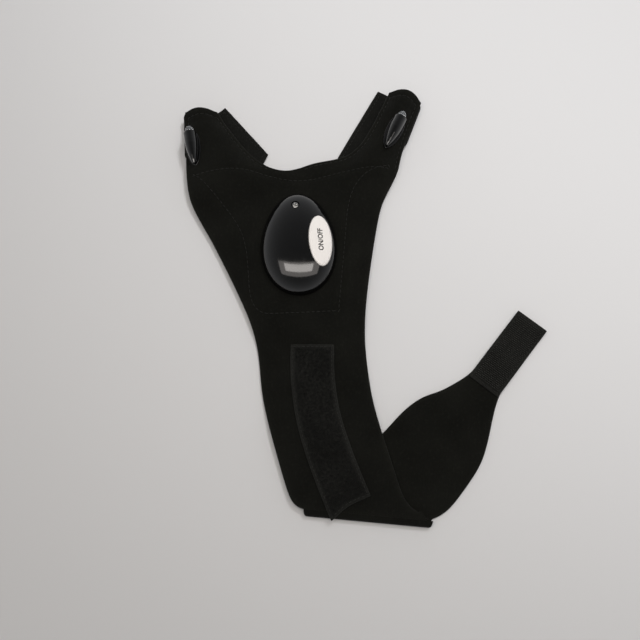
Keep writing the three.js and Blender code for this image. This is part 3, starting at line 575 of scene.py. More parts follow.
def stretches(loop: Plan, keep: np.ndarray) -> list[Plan]:
    """Open paths of consecutive kept points of a closed loop.

    Args:
        loop: plan points.
        keep: which of them stay.

    Returns:
        The paths of more than three points.
    """
    if keep.all():
        return [np.vstack([loop, loop[:1]])]
    start = int(np.argmin(keep))
    points, kept = np.roll(loop, -start, axis=0), np.roll(keep, -start)
    paths, current = [], []
    for point, here in zip(points, kept):
        if here:
            current.append(point)
        elif current:
            paths.append(np.array(current))
            current = []
    if current:
        paths.append(np.array(current))
    return [path for path in paths if len(path) > 3]


def fold_side(points: Plan) -> np.ndarray:
    """How far points lie from the fold towards the wrist."""
    return (points - FOLD_MIDDLE) @ FOLD_ACROSS


def to_fold(points: Plan) -> np.ndarray:
    """How far edge points are pushed to meet the fold; zero away from it."""
    near = (fold_side(points) < 2.6 * MM) & (np.abs((points - FOLD_MIDDLE) @ FOLD_ALONG) < 36.0 * MM)
    return np.where(near, fold_side(points) - 0.05 * MM, 0.0)


def ramp(value: np.ndarray, start: float, end: float) -> np.ndarray:
    """Smooth step from 0 at start to 1 at end."""
    share = np.clip((value - start) / (end - start), 0, 1)
    return share * share * (3 - 2 * share)


def ripple(points: Plan, size: float, turn: float, stretch: float, seed: float) -> np.ndarray:
    """Soft folds: noise drawn out along one direction.

    Args:
        points: plan points.
        size: width of a fold in metres.
        turn: direction along the folds, in degrees from +X.
        stretch: length of a fold over its width.
        seed: shift that picks the pattern.

    Returns:
        Values of about -1 to 1.
    """
    angle = math.radians(turn)
    along = points @ np.array([math.cos(angle), math.sin(angle)]) / (size * stretch)
    across = points @ np.array([-math.sin(angle), math.cos(angle)]) / size
    return np.array([noise.noise((a, b, seed)) for a, b in zip(along, across)]) * 1.6


# -------- meshes


def linked(name: str, data: bpy.types.ID) -> Piece:
    """Put data into the scene as an object at the origin.

    Args:
        name: the object's name.
        data: its mesh, text, light or camera.

    Returns:
        The new object.
    """
    made = bpy.data.objects.new(name, data)
    bpy.context.scene.collection.objects.link(made)
    return made


def new_object(name: str, vertices: Sequence, faces: Sequence, finish: Optional[Finish] = None) -> Piece:
    """Make a mesh object at the origin.

    Args:
        name: the piece's name.
        vertices: places in metres.
        faces: vertex numbers.
        finish: its finish, if known.

    Returns:
        The linked object, smooth shaded.
    """
    mesh = bpy.data.meshes.new(name)
    mesh.from_pydata([tuple(v) for v in vertices], [], [tuple(int(i) for i in f) for f in faces])
    mesh.validate()
    mesh.update()
    made = linked(name, mesh)
    mesh.shade_smooth()
    if finish:
        mesh.materials.append(finish.material())
    return made


def sharpen(made: Piece, degrees: float = 35.0) -> None:
    """Mark edges sharper than an angle as sharp for shading.

    Args:
        made: the piece.
        degrees: the angle.
    """
    shape = bmesh.new()
    shape.from_mesh(made.data)
    limit = math.radians(degrees)
    for line in shape.edges:
        line.smooth = not (len(line.link_faces) == 2 and line.calc_face_angle(0) > limit)
    shape.to_mesh(made.data)
    shape.free()


def settle(made: Piece) -> Piece:
    """Apply an object's modifiers, so that only a plain mesh is left.

    Args:
        made: the piece.

    Returns:
        The same piece.
    """
    graph = bpy.context.evaluated_depsgraph_get()
    mesh = bpy.data.meshes.new_from_object(made.evaluated_get(graph), depsgraph=graph)
    made.modifiers.clear()
    made.data = mesh
    return made


def skin(first: int, rings: int, sides: int) -> list[tuple]:
    """Faces between rings of points.

    Args:
        first: number of the first ring's first point.
        rings: number of rings.
        sides: points in a ring.

    Returns:
        Four-sided faces, ring by ring.
    """
    faces = []
    for low in range(first, first + (rings - 1) * sides, sides):
        for i in range(sides):
            j = (i + 1) % sides
            faces.append((low + i, low + j, low + j + sides, low + i + sides))
    return faces


def lathe(profile: Sequence[tuple[float, float]], sides: int) -> tuple[list, list]:
    """Turn a profile of (radius, height) about Z into a closed mesh.

    Args:
        profile: from the lower pole to the upper pole; the first and last radius are zero.
        sides: faces round it.

    Returns:
        Vertices and faces.
    """
    vertices = [(0.0, 0.0, profile[0][1])]
    for radius, height in profile[1:-1]:
        for i in range(sides):
            angle = 2 * math.pi * i / sides
            vertices.append((radius * math.cos(angle), radius * math.sin(angle), height))
    vertices.append((0.0, 0.0, profile[-1][1]))
    rings = len(profile) - 2
    faces = [(0, 1 + (i + 1) % sides, 1 + i) for i in range(sides)]
    faces += skin(1, rings, sides)
    last, top = 1 + (rings - 1) * sides, len(vertices) - 1
    faces += [(last + i, last + (i + 1) % sides, top) for i in range(sides)]
    return vertices, faces


def column(outline: Plan, z0: float, z1: float) -> tuple[list, list]:
    """An upright prism of a plan outline that runs anticlockwise.

    Args:
        outline: plan points.
        z0: height of its foot.
        z1: height of its top.

    Returns:
        Vertices and faces.
    """
    count = len(outline)
    vertices = [(x, y, z0) for x, y in outline] + [(x, y, z1) for x, y in outline]
    faces = [tuple(reversed(range(count))), tuple(range(count, 2 * count))]
    for i in range(count):
        j = (i + 1) % count
        faces.append((i, j, count + j, count + i))
    return vertices, faces


def combine(made: Piece, other: Piece, operation: str) -> Piece:
    """Join or cut one closed mesh with another, which is used up.

    Args:
        made: the piece that stays.
        other: the other piece.
        operation: UNION, DIFFERENCE or INTERSECT.

    Returns:
        The piece that stays.
    """
    cut = made.modifiers.new("cut", "BOOLEAN")
    cut.operation, cut.solver, cut.object = operation, "EXACT", other
    settle(made)
    bpy.data.objects.remove(other)
    return made


def move(made: Piece, matrix: Matrix) -> Piece:
    """Move a piece's mesh, so that the object itself stays at the origin.

    Args:
        made: the piece.
        matrix: the move.

    Returns:
        The same piece.
    """
    made.data.transform(matrix)
    made.data.update()
    return made


class Surface:
    """The outlines of a CAD node's upward faces, longest first."""

    def __init__(self, node: str) -> None:
        """Read the node's mesh.

        Args:
            node: the CAD node.
        """
        shape = bmesh.new()
        shape.from_mesh(frame["nodes"][node].data)
        bmesh.ops.remove_doubles(shape, verts=shape.verts, dist=1e-6)
        shape.normal_update()
        steepest = 0.12
        under = [face for face in shape.faces if face.normal.z < steepest]
        bmesh.ops.delete(shape, geom=under, context="FACES")
        rims = [e for e in shape.edges if len(e.link_faces) == 1]
        self.loops = sorted(self.chain(rims), key=lambda loop: -len(even(loop, MM)))
        shape.free()

    @staticmethod
    def chain(rims: Sequence[bmesh.types.BMEdge]) -> list[Plan]:
        """Order loose rim edges into closed loops.

        Args:
            rims: the edges.

        Returns:
            The loops' plan points.
        """
        left, loops = dict.fromkeys(rims), []  # keeps their order, so that each run gives the same loops
        while left:
            first = next(iter(left))
            del left[first]
            start, here = first.verts
            loop = [start.co.xy[:], here.co.xy[:]]
            while here is not start:
                onward = next((e for e in here.link_edges if e in left), None)
                if onward is None:
                    break
                del left[onward]
                here = onward.other_vert(here)
                loop.append(here.co.xy[:])
            loops.append(np.array(loop[:-1]))
        return loops


@dataclass
class Sheet:
    """A cut sheet of cloth with rounded edges, built over its plan outline.

    Attributes:
        name: the piece's name.
        loops: outer outline first, then holes.
        thickness: thickness of the cloth.
        middle: height of the middle of the cloth over plan points.
        finish: its finish.
        relief: change of height added after the middle is smoothed.
        step: spacing of the mesh.
        rounds: rounds of smoothing of the height.
        flush: how far edge points are pushed out and left square, where the cloth goes on in another piece.
        ease: how far the cloth swells past its pattern at the edges.
    """

    name: str
    loops: list
    thickness: float
    middle: Callable[[Plan], np.ndarray]
    finish: Finish
    relief: Optional[Callable[[Plan], np.ndarray]] = None
    step: float = 1.3 * MM
    rounds: int = 10
    flush: Optional[Callable[[Plan], np.ndarray]] = None
    ease: float = 0.35 * MM

    def build(self) -> Piece:
        """Fill the outline, raise it, and give it its thickness.

        Returns:
            The finished piece, with a UV map of its plan and a wear attribute on its edges.
        """
        half = self.thickness / 2
        loops = [relaxed(loop, self.step) for loop in self.loops]
        loops = [inset(loops[0], half * 0.9 - self.ease)] + [inset(loop, -half * 0.9) for loop in loops[1:]]
        points, triangles = self.fill(loops)
        heights = self.smooth(self.middle(points), triangles)
        if self.relief:
            heights = heights + self.relief(points)
        middle = np.column_stack([points, heights])
        rims = self.rim_edges(triangles)
        normals = self.normals(middle, triangles)
        count = len(points)
        outward, push = self.outward(middle, rims, normals)
        middle = middle + outward * push[:, None]
        square = push > 0
        vertices = [middle + normals * half, middle - normals * half]
        faces = [tuple(t) for t in triangles] + [(a + count, c + count, b + count) for a, b, c in triangles]
        places = sorted({int(i) for pair in rims for i in pair})
        number = {place: k for k, place in enumerate(places)}
        layers = []
        base = 2 * count
        for angle in (35, 90, 145):
            turn = math.radians(angle)
            bulge = np.where(square[places], 0.0, math.sin(turn) * half * 0.9)
            lift = np.where(square[places], half * (1 - angle / 90), math.cos(turn) * half)
            ring = middle[places] + normals[places] * lift[:, None] + outward[places] * bulge[:, None]
            vertices.append(ring)
            layers.append(base)
            base += len(places)
        for a, b in rims:
            rows = [(a, b)] + [(start + number[a], start + number[b]) for start in layers]
            rows.append((a + count, b + count))
            for (a0, b0), (a1, b1) in zip(rows, rows[1:]):
                faces.append((b0, a0, a1, b1))
        made = new_object(self.name, np.vstack(vertices), faces, self.finish)
        if square.any():
            sharpen(made, FLUSH_CREASE)
        edge = np.exp(-distance(points, loops[0]) / (0.9 * MM)) * 0.25
        plan = np.vstack([points, points] + [points[places]] * 3)
        wear = np.concatenate([edge, edge] + [edge[places] + 0.05] * 3)
        self.paint(made, plan, wear)
        return made

    def fill(self, loops: list) -> tuple[Plan, np.ndarray]:
        """Triangulate the area between the loops with a fine even mesh.

        Args:
            loops: outer outline, then holes.

        Returns:
            Points and triangles.
        """
        low, high = loops[0].min(0), loops[0].max(0)
        rows = np.arange(low[1], high[1], self.step * 0.866)
        grid = []
        for k, y in enumerate(rows):
            xs = np.arange(low[0] + (k % 2) * self.step / 2, high[0], self.step)
            grid.append(np.column_stack([xs, np.full(len(xs), y)]))
        inner = np.vstack(grid)
        inner = inner[within(inner, loops[0])]
        for loop in loops[1:]:
            inner = inner[~within(inner, loop)]
        for loop in loops:
            inner = inner[distance(inner, loop) > 0.6 * self.step]
        edges, start = [], 0
        for loop in loops:
            edges += [(start + i, start + (i + 1) % len(loop)) for i in range(len(loop))]
            start += len(loop)
        points = np.vstack([*loops, inner])
        out = geometry.delaunay_2d_cdt([Vector(p) for p in points], edges, [], 0, 1e-8)
        points = np.array([v[:] for v in out[0]])
        triangles = np.array([f for f in out[2] if len(f) == 3])
        centres = points[triangles].mean(1)
        keep = within(centres, loops[0])
        for loop in loops[1:]:
            keep &= ~within(centres, loop)
        triangles = triangles[keep]
        a, b, c = (points[triangles[:, k]] for k in range(3))
        turn = (b - a)[:, 0] * (c - a)[:, 1] - (b - a)[:, 1] * (c - a)[:, 0]
        triangles[turn < 0] = triangles[turn < 0][:, ::-1]
        used = np.unique(triangles)
        renumber = np.zeros(len(points), int)
        renumber[used] = np.arange(len(used))
        return points[used], renumber[triangles]

    def smooth(self, heights: np.ndarray, triangles: np.ndarray) -> np.ndarray:
        """Average each height with its neighbours a number of times.

        Args:
            heights: height of each point.
            triangles: the sheet's triangles.

        Returns:
            The smooth heights.
        """
        pairs = np.vstack([triangles[:, [0, 1]], triangles[:, [1, 2]], triangles[:, [2, 0]]])
        ends, others = np.concatenate([pairs[:, 0], pairs[:, 1]]), np.concatenate([pairs[:, 1], pairs[:, 0]])
        degree = np.bincount(ends, minlength=len(heights))
        for _ in range(self.rounds):
            around = np.bincount(ends, weights=heights[others], minlength=len(heights)) / degree
            heights = heights + 0.5 * (around - heights)
        return heights

    @staticmethod
    def rim_edges(triangles: np.ndarray) -> list[tuple[int, int]]:
        """Edges used by one triangle only, in that triangle's direction.

        Args:
            triangles: the sheet's triangles.

        Returns:
            Pairs of point numbers.
        """
        directed = {(int(t[k]), int(t[(k + 1) % 3])) for t in triangles for k in range(3)}
        return [(a, b) for a, b in directed if (b, a) not in directed]

    @staticmethod
    def normals(middle: np.ndarray, triangles: np.ndarray) -> np.ndarray:
        """Area-weighted vertex normals.

        Args:
            middle: points in space.
            triangles: the sheet's triangles.

        Returns:
            One unit normal for each point.
        """
        a, b, c = (middle[triangles[:, k]] for k in range(3))
        across = np.cross(b - a, c - a)
        total = np.zeros_like(middle)
        for k in range(3):
            np.add.at(total, triangles[:, k], across)
        return total / (np.linalg.norm(total, axis=1)[:, None] + 1e-15)

    def outward(self, middle: np.ndarray, rims: list, normals: np.ndarray) -> tuple[np.ndarray, np.ndarray]:
        """Direction out of the sheet at its rim, and how far the rim is pushed where it is flush.

        Args:
            middle: points in space.
            rims: rim edges.
            normals: normal at each point.

        Returns:
            Unit directions and distances, zero away from the rim.
        """
        out = np.zeros_like(middle)
        for a, b in rims:
            side = np.cross(middle[b] - middle[a], normals[a] + normals[b])
            out[a] += side
            out[b] += side
        size = np.linalg.norm(out, axis=1)
        out[size > 0] /= size[size > 0][:, None]
        push = np.zeros(len(middle))
        if self.flush is not None:
            push = np.where(size > 0, self.flush(middle[:, :2]), 0.0)
        return out, push

    @staticmethod
    def paint(made: Piece, plan: Plan, wear: np.ndarray) -> None:
        """Store the plan as UV and the wear as an attribute.

        Args:
            made: the piece.
            plan: plan place of each vertex.
            wear: wear of each vertex.
        """
        mesh = made.data
        layer = mesh.uv_layers.new(name="cloth")
        corners = np.zeros(len(mesh.loops), np.int32)
        mesh.loops.foreach_get("vertex_index", corners)
        layer.data.foreach_set("uv", plan[corners].astype(np.float32).ravel())
        mesh.attributes.new("wear", "FLOAT", "POINT").data.foreach_set("value", wear.astype(np.float32))


# -------- repeats by Geometry Nodes


class Repeat:
    """A Geometry Nodes tree that lays out one small shape many times."""

    def __init__(self, name: str, inputs: dict) -> None:
        """Open a tree with a geometry input, named sizes and a material.

        Args:
            name: the tree's name.
            inputs: socket type for each named input.
        """
        self.tree = bpy.data.node_groups.new(name, "GeometryNodeTree")
        face = self.tree.interface
        face.new_socket(name="Geometry", in_out="INPUT", socket_type="NodeSocketGeometry")
        for key, kind in {**inputs, "Material": "NodeSocketMaterial"}.items():
            face.new_socket(name=key, in_out="INPUT", socket_type=kind)
        face.new_socket(name="Geometry", in_out="OUTPUT", socket_type="NodeSocketGeometry")
        self.given = add(self.tree, "NodeGroupInput").outputs

    def put(self, kind: str, feeds: Optional[dict] = None, **settings) -> Node:
        """Add a node to this tree."""
        return add(self.tree, kind, feeds, **settings)

    def close(self, instances: Socket) -> None:
        """End the tree in realised, smooth, dressed geometry.

        Args:
            instances: the laid out shapes.
        """
        real = self.put("GeometryNodeRealizeInstances", {"Geometry": instances})
        smooth = self.put("GeometryNodeSetShadeSmooth", {"Geometry": real.outputs["Geometry"]})
        dressed = self.put(
            "GeometryNodeSetMaterial",
            {"Geometry": smooth.outputs["Geometry"], "Material": self.given["Material"]},
        )
        self.put("NodeGroupOutput", {"Geometry": dressed.outputs["Geometry"]})

    def wire(self, thickness: Socket, steps: int, sides: int, angles: tuple, scale: tuple) -> Socket:
        """A capped wire bent into an arc of the Height input, standing on its start.

        Args:
            thickness: the wire's radius.
            steps: points along it.
            sides: sides round it.
            angles: start and sweep of the arc.
            scale: how it is drawn out.

        Returns:
            The wire's geometry.
        """
        feeds = {"Resolution": steps, "Radius": self.given["Height"], "Start Angle": angles[0],
                 "Sweep Angle": angles[1]}
        arc = self.put("GeometryNodeCurveArc", feeds)
        ring = self.put("GeometryNodeCurvePrimitiveCircle", {"Resolution": sides, "Radius": thickness})
        feeds = {"Curve": arc.outputs["Curve"], "Profile Curve": ring.outputs["Curve"], "Fill Caps": True}
        tube = self.put("GeometryNodeCurveToMesh", feeds).outputs["Mesh"]
        feeds = {"Geometry": tube, "Rotation": (math.pi / 2, 0, 0), "Scale": scale}
        return self.put("GeometryNodeTransform", feeds).outputs["Geometry"]

    def lay(self, name: str, carrier: Piece, finish: Finish, **values: float) -> Piece:
        """Run the tree on a carrier mesh, which is used up.

        Args:
            name: the finished piece's name.
            carrier: paths, points or faces to lay the shape on.
            finish: the shape's finish.
            **values: the tree's named inputs, with _ for a space.

        Returns:
            The finished piece.
        """
        modifier = carrier.modifiers.new("repeat", "NODES")
        modifier.node_group = self.tree
        wanted = {key.replace("_", " "): value for key, value in values.items()}
        wanted["Material"] = finish.material()
        for item in self.tree.interface.items_tree:
            if item.in_out == "INPUT" and item.name in wanted:
                modifier[item.identifier] = wanted[item.name]
        settle(carrier)
        carrier.name = name
        carrier.data.name = name
        if not carrier.data.materials:
            carrier.data.materials.append(finish.material())
        return carrier


def stitch_repeat() -> Repeat:
    """Lock stitches along paths: one short bead of thread every pitch.

    Returns:
        The tree.
    """
    made = Repeat("row of lock stitches", dict.fromkeys(("Pitch", "Length", "Width"), "NodeSocketFloat"))
    given = made.given
    path = made.put("GeometryNodeMeshToCurve", {"Mesh": given["Geometry"]})
    feeds = {"Curve": path.outputs["Curve"], "Length": given["Pitch"]}
    points = made.put("GeometryNodeCurveToPoints", feeds, mode="LENGTH")
    bead = made.put("GeometryNodeMeshUVSphere", {"Segments": 8, "Rings": 5, "Radius": 0.5})
    size = made.put("ShaderNodeCombineXYZ", {"X": given["Length"], "Y": given["Width"], "Z": given["Width"]})
    thread = made.put(
        "GeometryNodeTransform", {"Geometry": bead.outputs["Mesh"], "Scale": size.outputs["Vector"]}
    )
    turn = made.put("FunctionNodeAlignRotationToVector", {"Vector": points.outputs["Tangent"]}, axis="X")
    feeds = {"Points": points.outputs["Points"], "Instance": thread.outputs["Geometry"],
             "Rotation": turn.outputs["Rotation"]}
    made.close(made.put("GeometryNodeInstanceOnPoints", feeds).outputs["Instances"])
    return made


def pile_repeat() -> Repeat:
    """Standing loops of fibre scattered over faces, each turned and tipped its own way.

    Returns:
        The tree.
    """
    made = Repeat(
        "loop pile",
        {"Density": "NodeSocketFloat", "Height": "NodeSocketFloat", "Thread": "NodeSocketFloat",
         "Seed": "NodeSocketInt"},
    )
    given = made.given
    feeds = {"Mesh": given["Geometry"], "Density": given["Density"], "Seed": given["Seed"]}
    points = made.put("GeometryNodeDistributePointsOnFaces", feeds)
    loop = made.wire(given["Thread"], 6, 3, (-0.3, math.pi + 0.6), (0.6, 1, 1))
    tips = made.put("FunctionNodeRandomValue", {"Seed": given["Seed"]}, data_type="FLOAT_VECTOR")
    tips.inputs[0].default_value = (-0.6, -0.6, 0)
    tips.inputs[1].default_value = (0.6, 0.6, 2 * math.pi)
    sizes = made.put("FunctionNodeRandomValue", {"Seed": given["Seed"]}, data_type="FLOAT")
    sizes.inputs[2].default_value = 0.6
    sizes.inputs[3].default_value = 1.15
    feeds = {"Points": points.outputs["Points"], "Instance": loop, "Rotation": tips.outputs[0],
             "Scale": sizes.outputs[1]}
    made.close(made.put("GeometryNodeInstanceOnPoints", feeds).outputs["Instances"])
    return made


def hook_repeat() -> Repeat:
    """Rows of hooks: a bent bristle on each point, alternate ones turned about.

    Returns:
        The tree.
    """
    made = Repeat(
        "rows of hooks",
        {"Height": "NodeSocketFloat", "Wire": "NodeSocketFloat", "Turn": "NodeSocketFloat",
         "Seed": "NodeSocketInt"},
    )
    given = made.given
    hook = made.wire(given["Wire"], 7, 4, (-0.2, 2.7), (0.55, 1, 1.3))
    number = made.put("GeometryNodeInputIndex")
    odd = made.put("ShaderNodeMath", {0: number.outputs[0], 1: 2.0}, operation="MODULO")
    about = made.put("ShaderNodeMath", {0: odd.outputs[0], 1: math.pi}, operation="MULTIPLY")
    loose = made.put("FunctionNodeRandomValue", {"Seed": given["Seed"]}, data_type="FLOAT")
    loose.inputs[2].default_value = -0.35
    loose.inputs[3].default_value = 0.35
    total = made.put("ShaderNodeMath", {0: about.outputs[0], 1: loose.outputs[1]}, operation="ADD")
    total = made.put("ShaderNodeMath", {0: total.outputs[0], 1: given["Turn"]}, operation="ADD")
    turn = made.put("ShaderNodeCombineXYZ", {"Z": total.outputs[0]})
    feeds = {"Points": given["Geometry"], "Instance": hook, "Rotation": turn.outputs["Vector"]}
    made.close(made.put("GeometryNodeInstanceOnPoints", feeds).outputs["Instances"])
    return made


def path_carrier(paths: Sequence[np.ndarray]) -> Piece:
    """A mesh of bare edges along 3-D paths, for a tree to lay stitches on.

    Args:
        paths: points in space.

    Returns:
        The linked carrier.
    """
    vertices, edges = [], []
    for path in paths:
        start = len(vertices)
        vertices += [tuple(p) for p in path]
        edges += [(start + i, start + i + 1) for i in range(len(path) - 1)]
    mesh = bpy.data.meshes.new("paths")
    mesh.from_pydata(vertices, edges, [])
    return linked("paths", mesh)


def on_top(piece: Piece, paths: Sequence[Plan], lift: float) -> list[np.ndarray]:
    """Lay plan paths on a piece's upper side.

    Args:
        piece: the piece under them.
        paths: plan paths.
        lift: height over the surface.

    Returns:
        The paths in space.
    """
    shape = bmesh.new()
    shape.from_mesh(piece.data)
    tree = BVHTree.FromBMesh(shape)
    shape.free()
    laid = []
    for path in paths:
        points = []
        for x, y in even(path, 0.8 * MM, closed=False):
            hit = tree.ray_cast(Vector((x, y, OVERHEAD)), Vector((0, 0, -1)))[0]
            if hit is not None:
                points.append((x, y, hit.z + lift))
        if len(points) > 2:
            laid.append(np.array(points))
    return laid


def sew(stitches: Repeat, name: str, piece: Piece, paths: Sequence[Plan], lift: float, size: dict) -> Piece:
    """Sew rows of stitches into a piece's upper side."""
    return stitches.lay(name, path_carrier(on_top(piece, paths, lift)), THREAD, **size)


# -------- registration


def register(piece: Piece, body: Body, slot: Slot, *nodes: str) -> Piece:
    """Attach a finished piece to its body and hide the CAD nodes that it stands for.

    Args:
        piece: the finished piece.
        body: the body that it moves with.
        slot: its finish slot; not used.
        *nodes: the CAD nodes that it replaces.

    Returns:
        The same piece.
    """
    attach(piece, body.value)
    if nodes:
        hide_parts(*nodes)
    log.info("%s: %d faces on %s", piece.name, len(piece.data.polygons), body.value)
    return piece


# -------- the glove's cloth


@dataclass(frozen=True)
class Sleeve:
    """A finger sleeve's front mouth: its two corners and the runs of its edges, in millimetres."""

    outer: tuple
    inner: tuple
    outer_run: tuple
    inner_run: tuple
    flat: float = 45 * MM
    fade: float = 70 * MM

    def arch(self, points: Plan, sign: int, roundness: float) -> np.ndarray:
        """Share of the full rise over the finger.

        Args:
            points: plan points.
            sign: 1 where the outer edge runs on the left, -1 on the right.
            roundness: power of the section: 0.5 is an ellipse, 1 a parabola.

        Returns:
            Values from 0 at the edges to 1 along the middle.
        """
        sides = []
        for start, run, way in ((self.outer, self.outer_run, sign), (self.inner, self.inner_run, -sign)):
            along = np.array(run) / np.linalg.norm(run)
            away = points - np.array(start) * MM
            sides.append(way * (along[0] * away[:, 1] - along[1] * away[:, 0]))
        outer, inner = sides
        over = (outer > 0) & (inner > 0)
        across = np.where(over, (outer - inner) / np.where(over, outer + inner, 1.0), 1.0)
        mouth = (np.array(self.outer) + np.array(self.inner)) / 2 * MM
        back = np.linalg.norm(points - mouth, axis=1)
        return (1 - across**2) ** roundness * (1 - ramp(back, self.flat, self.fade))

    def hem(self, rim: Plan, back: float) -> Plan:
        """The line of the hem's stitches.

        Args:
            rim: the panel's outline.
            back: distance behind the mouth.

        Returns:
            An open path across the sleeve.
        """
        outer, inner = np.array(self.outer) * MM, np.array(self.inner) * MM
        along = np.array(self.outer_run) / np.linalg.norm(self.outer_run)
        along = along + np.array(self.inner_run) / np.linalg.norm(self.inner_run)
        along /= np.linalg.norm(along)
        mouth = max(stretches(rim, distance(rim, np.array([outer, inner]), False) < 5.2 * MM), key=len)
        middle = (outer + inner) / 2
        side = np.array([-along[1], along[0]])
        width = np.linalg.norm(outer - inner) / 2
        near = mouth[np.abs((mouth - middle) @ side) < width * 0.86]
        return near + along * back


@dataclass
class HandPanel:
    """The Y-shaped panel: palm, two arched sleeves and the strap down to the fold."""

    thumb: Sleeve = Sleeve((-72.8, 87.5), (-52.8, 88.0), (2.6, -42.0), (20.2, -26.2))
    index: Sleeve = Sleeve((77.0, 95.0), (57.6, 102.4), (-16.5, -43.4), (-15.3, -28.6))
    hem_width: float = 4.8 * MM
    seam_inset: float = 1.9 * MM
    # Where the cloth swells past its pattern: place, shift and width in mm.
    swells: tuple = (((60.0, 48.0), (1.3, 0.0), 5.0), ((75.0, 99.0), (0.9, 0.5), 6.0),
                     ((5.0, -158.0), (-1.2, -0.2), 5.0))
    # Channels that the stitches pull in: kind of seam, depth and width in mm.
    channels: tuple = (("patch", 0.34, 1.3), ("side", 0.3, 1.1), ("hem", 0.45, 0.9))
    side_run: tuple = (0.8, 29.5)  # the rolled side's ends along the sleeve's outer edge, in mm
    side_foot: float = 1.15 * MM  # middle of the cloth where the side meets its band
    side_reach: float = 1.0 * MM
    side_half: float = 0.85 * MM
    side_corner: float = 2.0 * MM
    lining_thickness: float = 0.8 * MM
    layer: float = 2.4 * MM
    arch: float = 7.6 * MM
    roundness: float = 0.75
    outline: Plan = field(init=False)
    surface: Surface = field(init=False)
    lining: Surface = field(init=False)

    def __post_init__(self) -> None:
        """Read the CAD outlines."""
        self.surface = Surface("dorsal_panel")
        self.lining = Surface("lining_patch")
        outline = self.surface.loops[0]
        for place, swell, width in self.swells:
            away = np.linalg.norm(outline - np.array(place) * MM, axis=1)
            outline += np.array(swell) * MM * np.exp(-((away / (width * MM)) ** 2))[:, None]
        self.outline = relaxed(outline, MM)

    def underside(self, points: Plan) -> np.ndarray:
        """Height of the panel's underside: on the base plate, over the fingers, down at the wrist.

        Args:
            points: plan points.

        Returns:
            Height of each point.
        """
        wrist = ramp(-points[:, 1], 47.8 * MM, 66 * MM) * 2.1 * MM
        fold = (1 - ramp(fold_side(points), 36 * MM, 68 * MM)) * 2.9 * MM
        total = self.layer - wrist + fold
        for sleeve, sign in ((self.thumb, 1), (self.index, -1)):
            total = total + self.arch * sleeve.arch(points, sign, self.roundness)
        return total

    def upper(self, points: Plan) -> np.ndarray:
        """Height of the finished panel's upper face."""
        return self.underside(points) + FABRIC + self.relief(self.seams())(points)

    def seams(self) -> dict:
        """Plan paths of every seam on the panel.

        Returns:
            Paths by kind: patch, side and hem.
        """
        patch = inset(relaxed(self.lining.loops[0], MM), 1.0 * MM)
        near = inset(self.outline, self.seam_inset)
        mouths = np.minimum(
            *[distance(near, np.array([s.outer, s.inner]) * MM, False) for s in (self.thumb, self.index)]
        )
        return {
            "patch": [np.vstack([patch, patch[:1]])],
            "side": stretches(near, (near[:, 1] > 50 * MM) & (mouths > 5.0 * MM)),
            "hem": [s.hem(self.outline, self.hem_width) for s in (self.thumb, self.index)],
        }

    def relief(self, seams: dict) -> Callable[[Plan], np.ndarray]:
        """Height of hems, sewn channels and soft folds.

        Args:
            seams: the panel's seams.

        Returns:
            A function of plan points.
        """

        def height(points: Plan) -> np.ndarray:
            """Add up the relief.

            Args:
                points: plan points.

            Returns:
                Change of height at each point.
            """
            total = np.zeros(len(points))
            for kind, depth, width in self.channels:
                away = np.min([distance(points, path, False) for path in seams[kind]], axis=0)
                total -= depth * MM * np.exp(-((away / (width * MM)) ** 2))
                if kind == "patch":
                    total += 0.22 * MM * np.exp(-(((away - 3 * MM) / (2.2 * MM)) ** 2))
            for sleeve in (self.thumb, self.index):
                mouth = np.array([sleeve.outer, sleeve.inner]) * MM
                total += 0.3 * MM * (1 - ramp(distance(points, mouth, False), 5 * MM, 7.5 * MM))
            x, y = points[:, 0], points[:, 1]
            sleeves = ramp(y, 34 * MM, 62 * MM)
            calm = 1 - np.exp(-((np.hypot(x / 1.25, y) / (31 * MM)) ** 4))
            strap = ramp(-y, 58 * MM, 90 * MM) * ramp(fold_side(points), 1 * MM, 22 * MM)
            thumb_side = sleeves * (x < 0)
            index_side = sleeves * (x >= 0)
            total += thumb_side * 0.5 * MM * ripple(points, 11 * MM, 8, 2.2, 3.1)
            total += index_side * 0.5 * MM * ripple(points, 11 * MM, -24, 2.2, 7.4)
            total += calm * 0.28 * MM * ripple(points, 17 * MM, 75, 1.6, 1.7)
            total += strap * 0.4 * MM * (0.6 + ripple(points, 21 * MM, 12, 2.4, 5.9))
            return total

        return height

    def sides(self, panel: Piece) -> None:
        """Roll the cloth round the outer side of each sleeve, down to its band.

        Args:
            panel: the finished panel.
        """
        for name, sleeve, sign in (("thumb", self.thumb, 1), ("index", self.index, -1)):
            along = np.array(sleeve.outer_run) / np.linalg.norm(sleeve.outer_run)
            outward = sign * np.array([along[1], -along[0]])
            run = np.linspace(*self.side_run, 60)[:, None] * MM
            path = np.array(sleeve.outer) * MM + along * run - outward * 0.35 * MM
            top = on_top(panel, [path - outward * 0.5 * MM], 0.0)[0]
            reach = np.linalg.norm(top[:, :2] - top[0, :2], axis=1)
            upper = np.interp(run[:, 0] - run[0, 0], reach, top[:, 2]) - FABRIC / 2
            made = Roll(
                f"{name}_sleeve_side", path, outward, upper, np.full(len(path), self.side_foot),
                self.side_reach, self.side_half, self.side_corner, KNIT,
            ).build()
            register(made, Body.ROOT, Slot.KNIT)

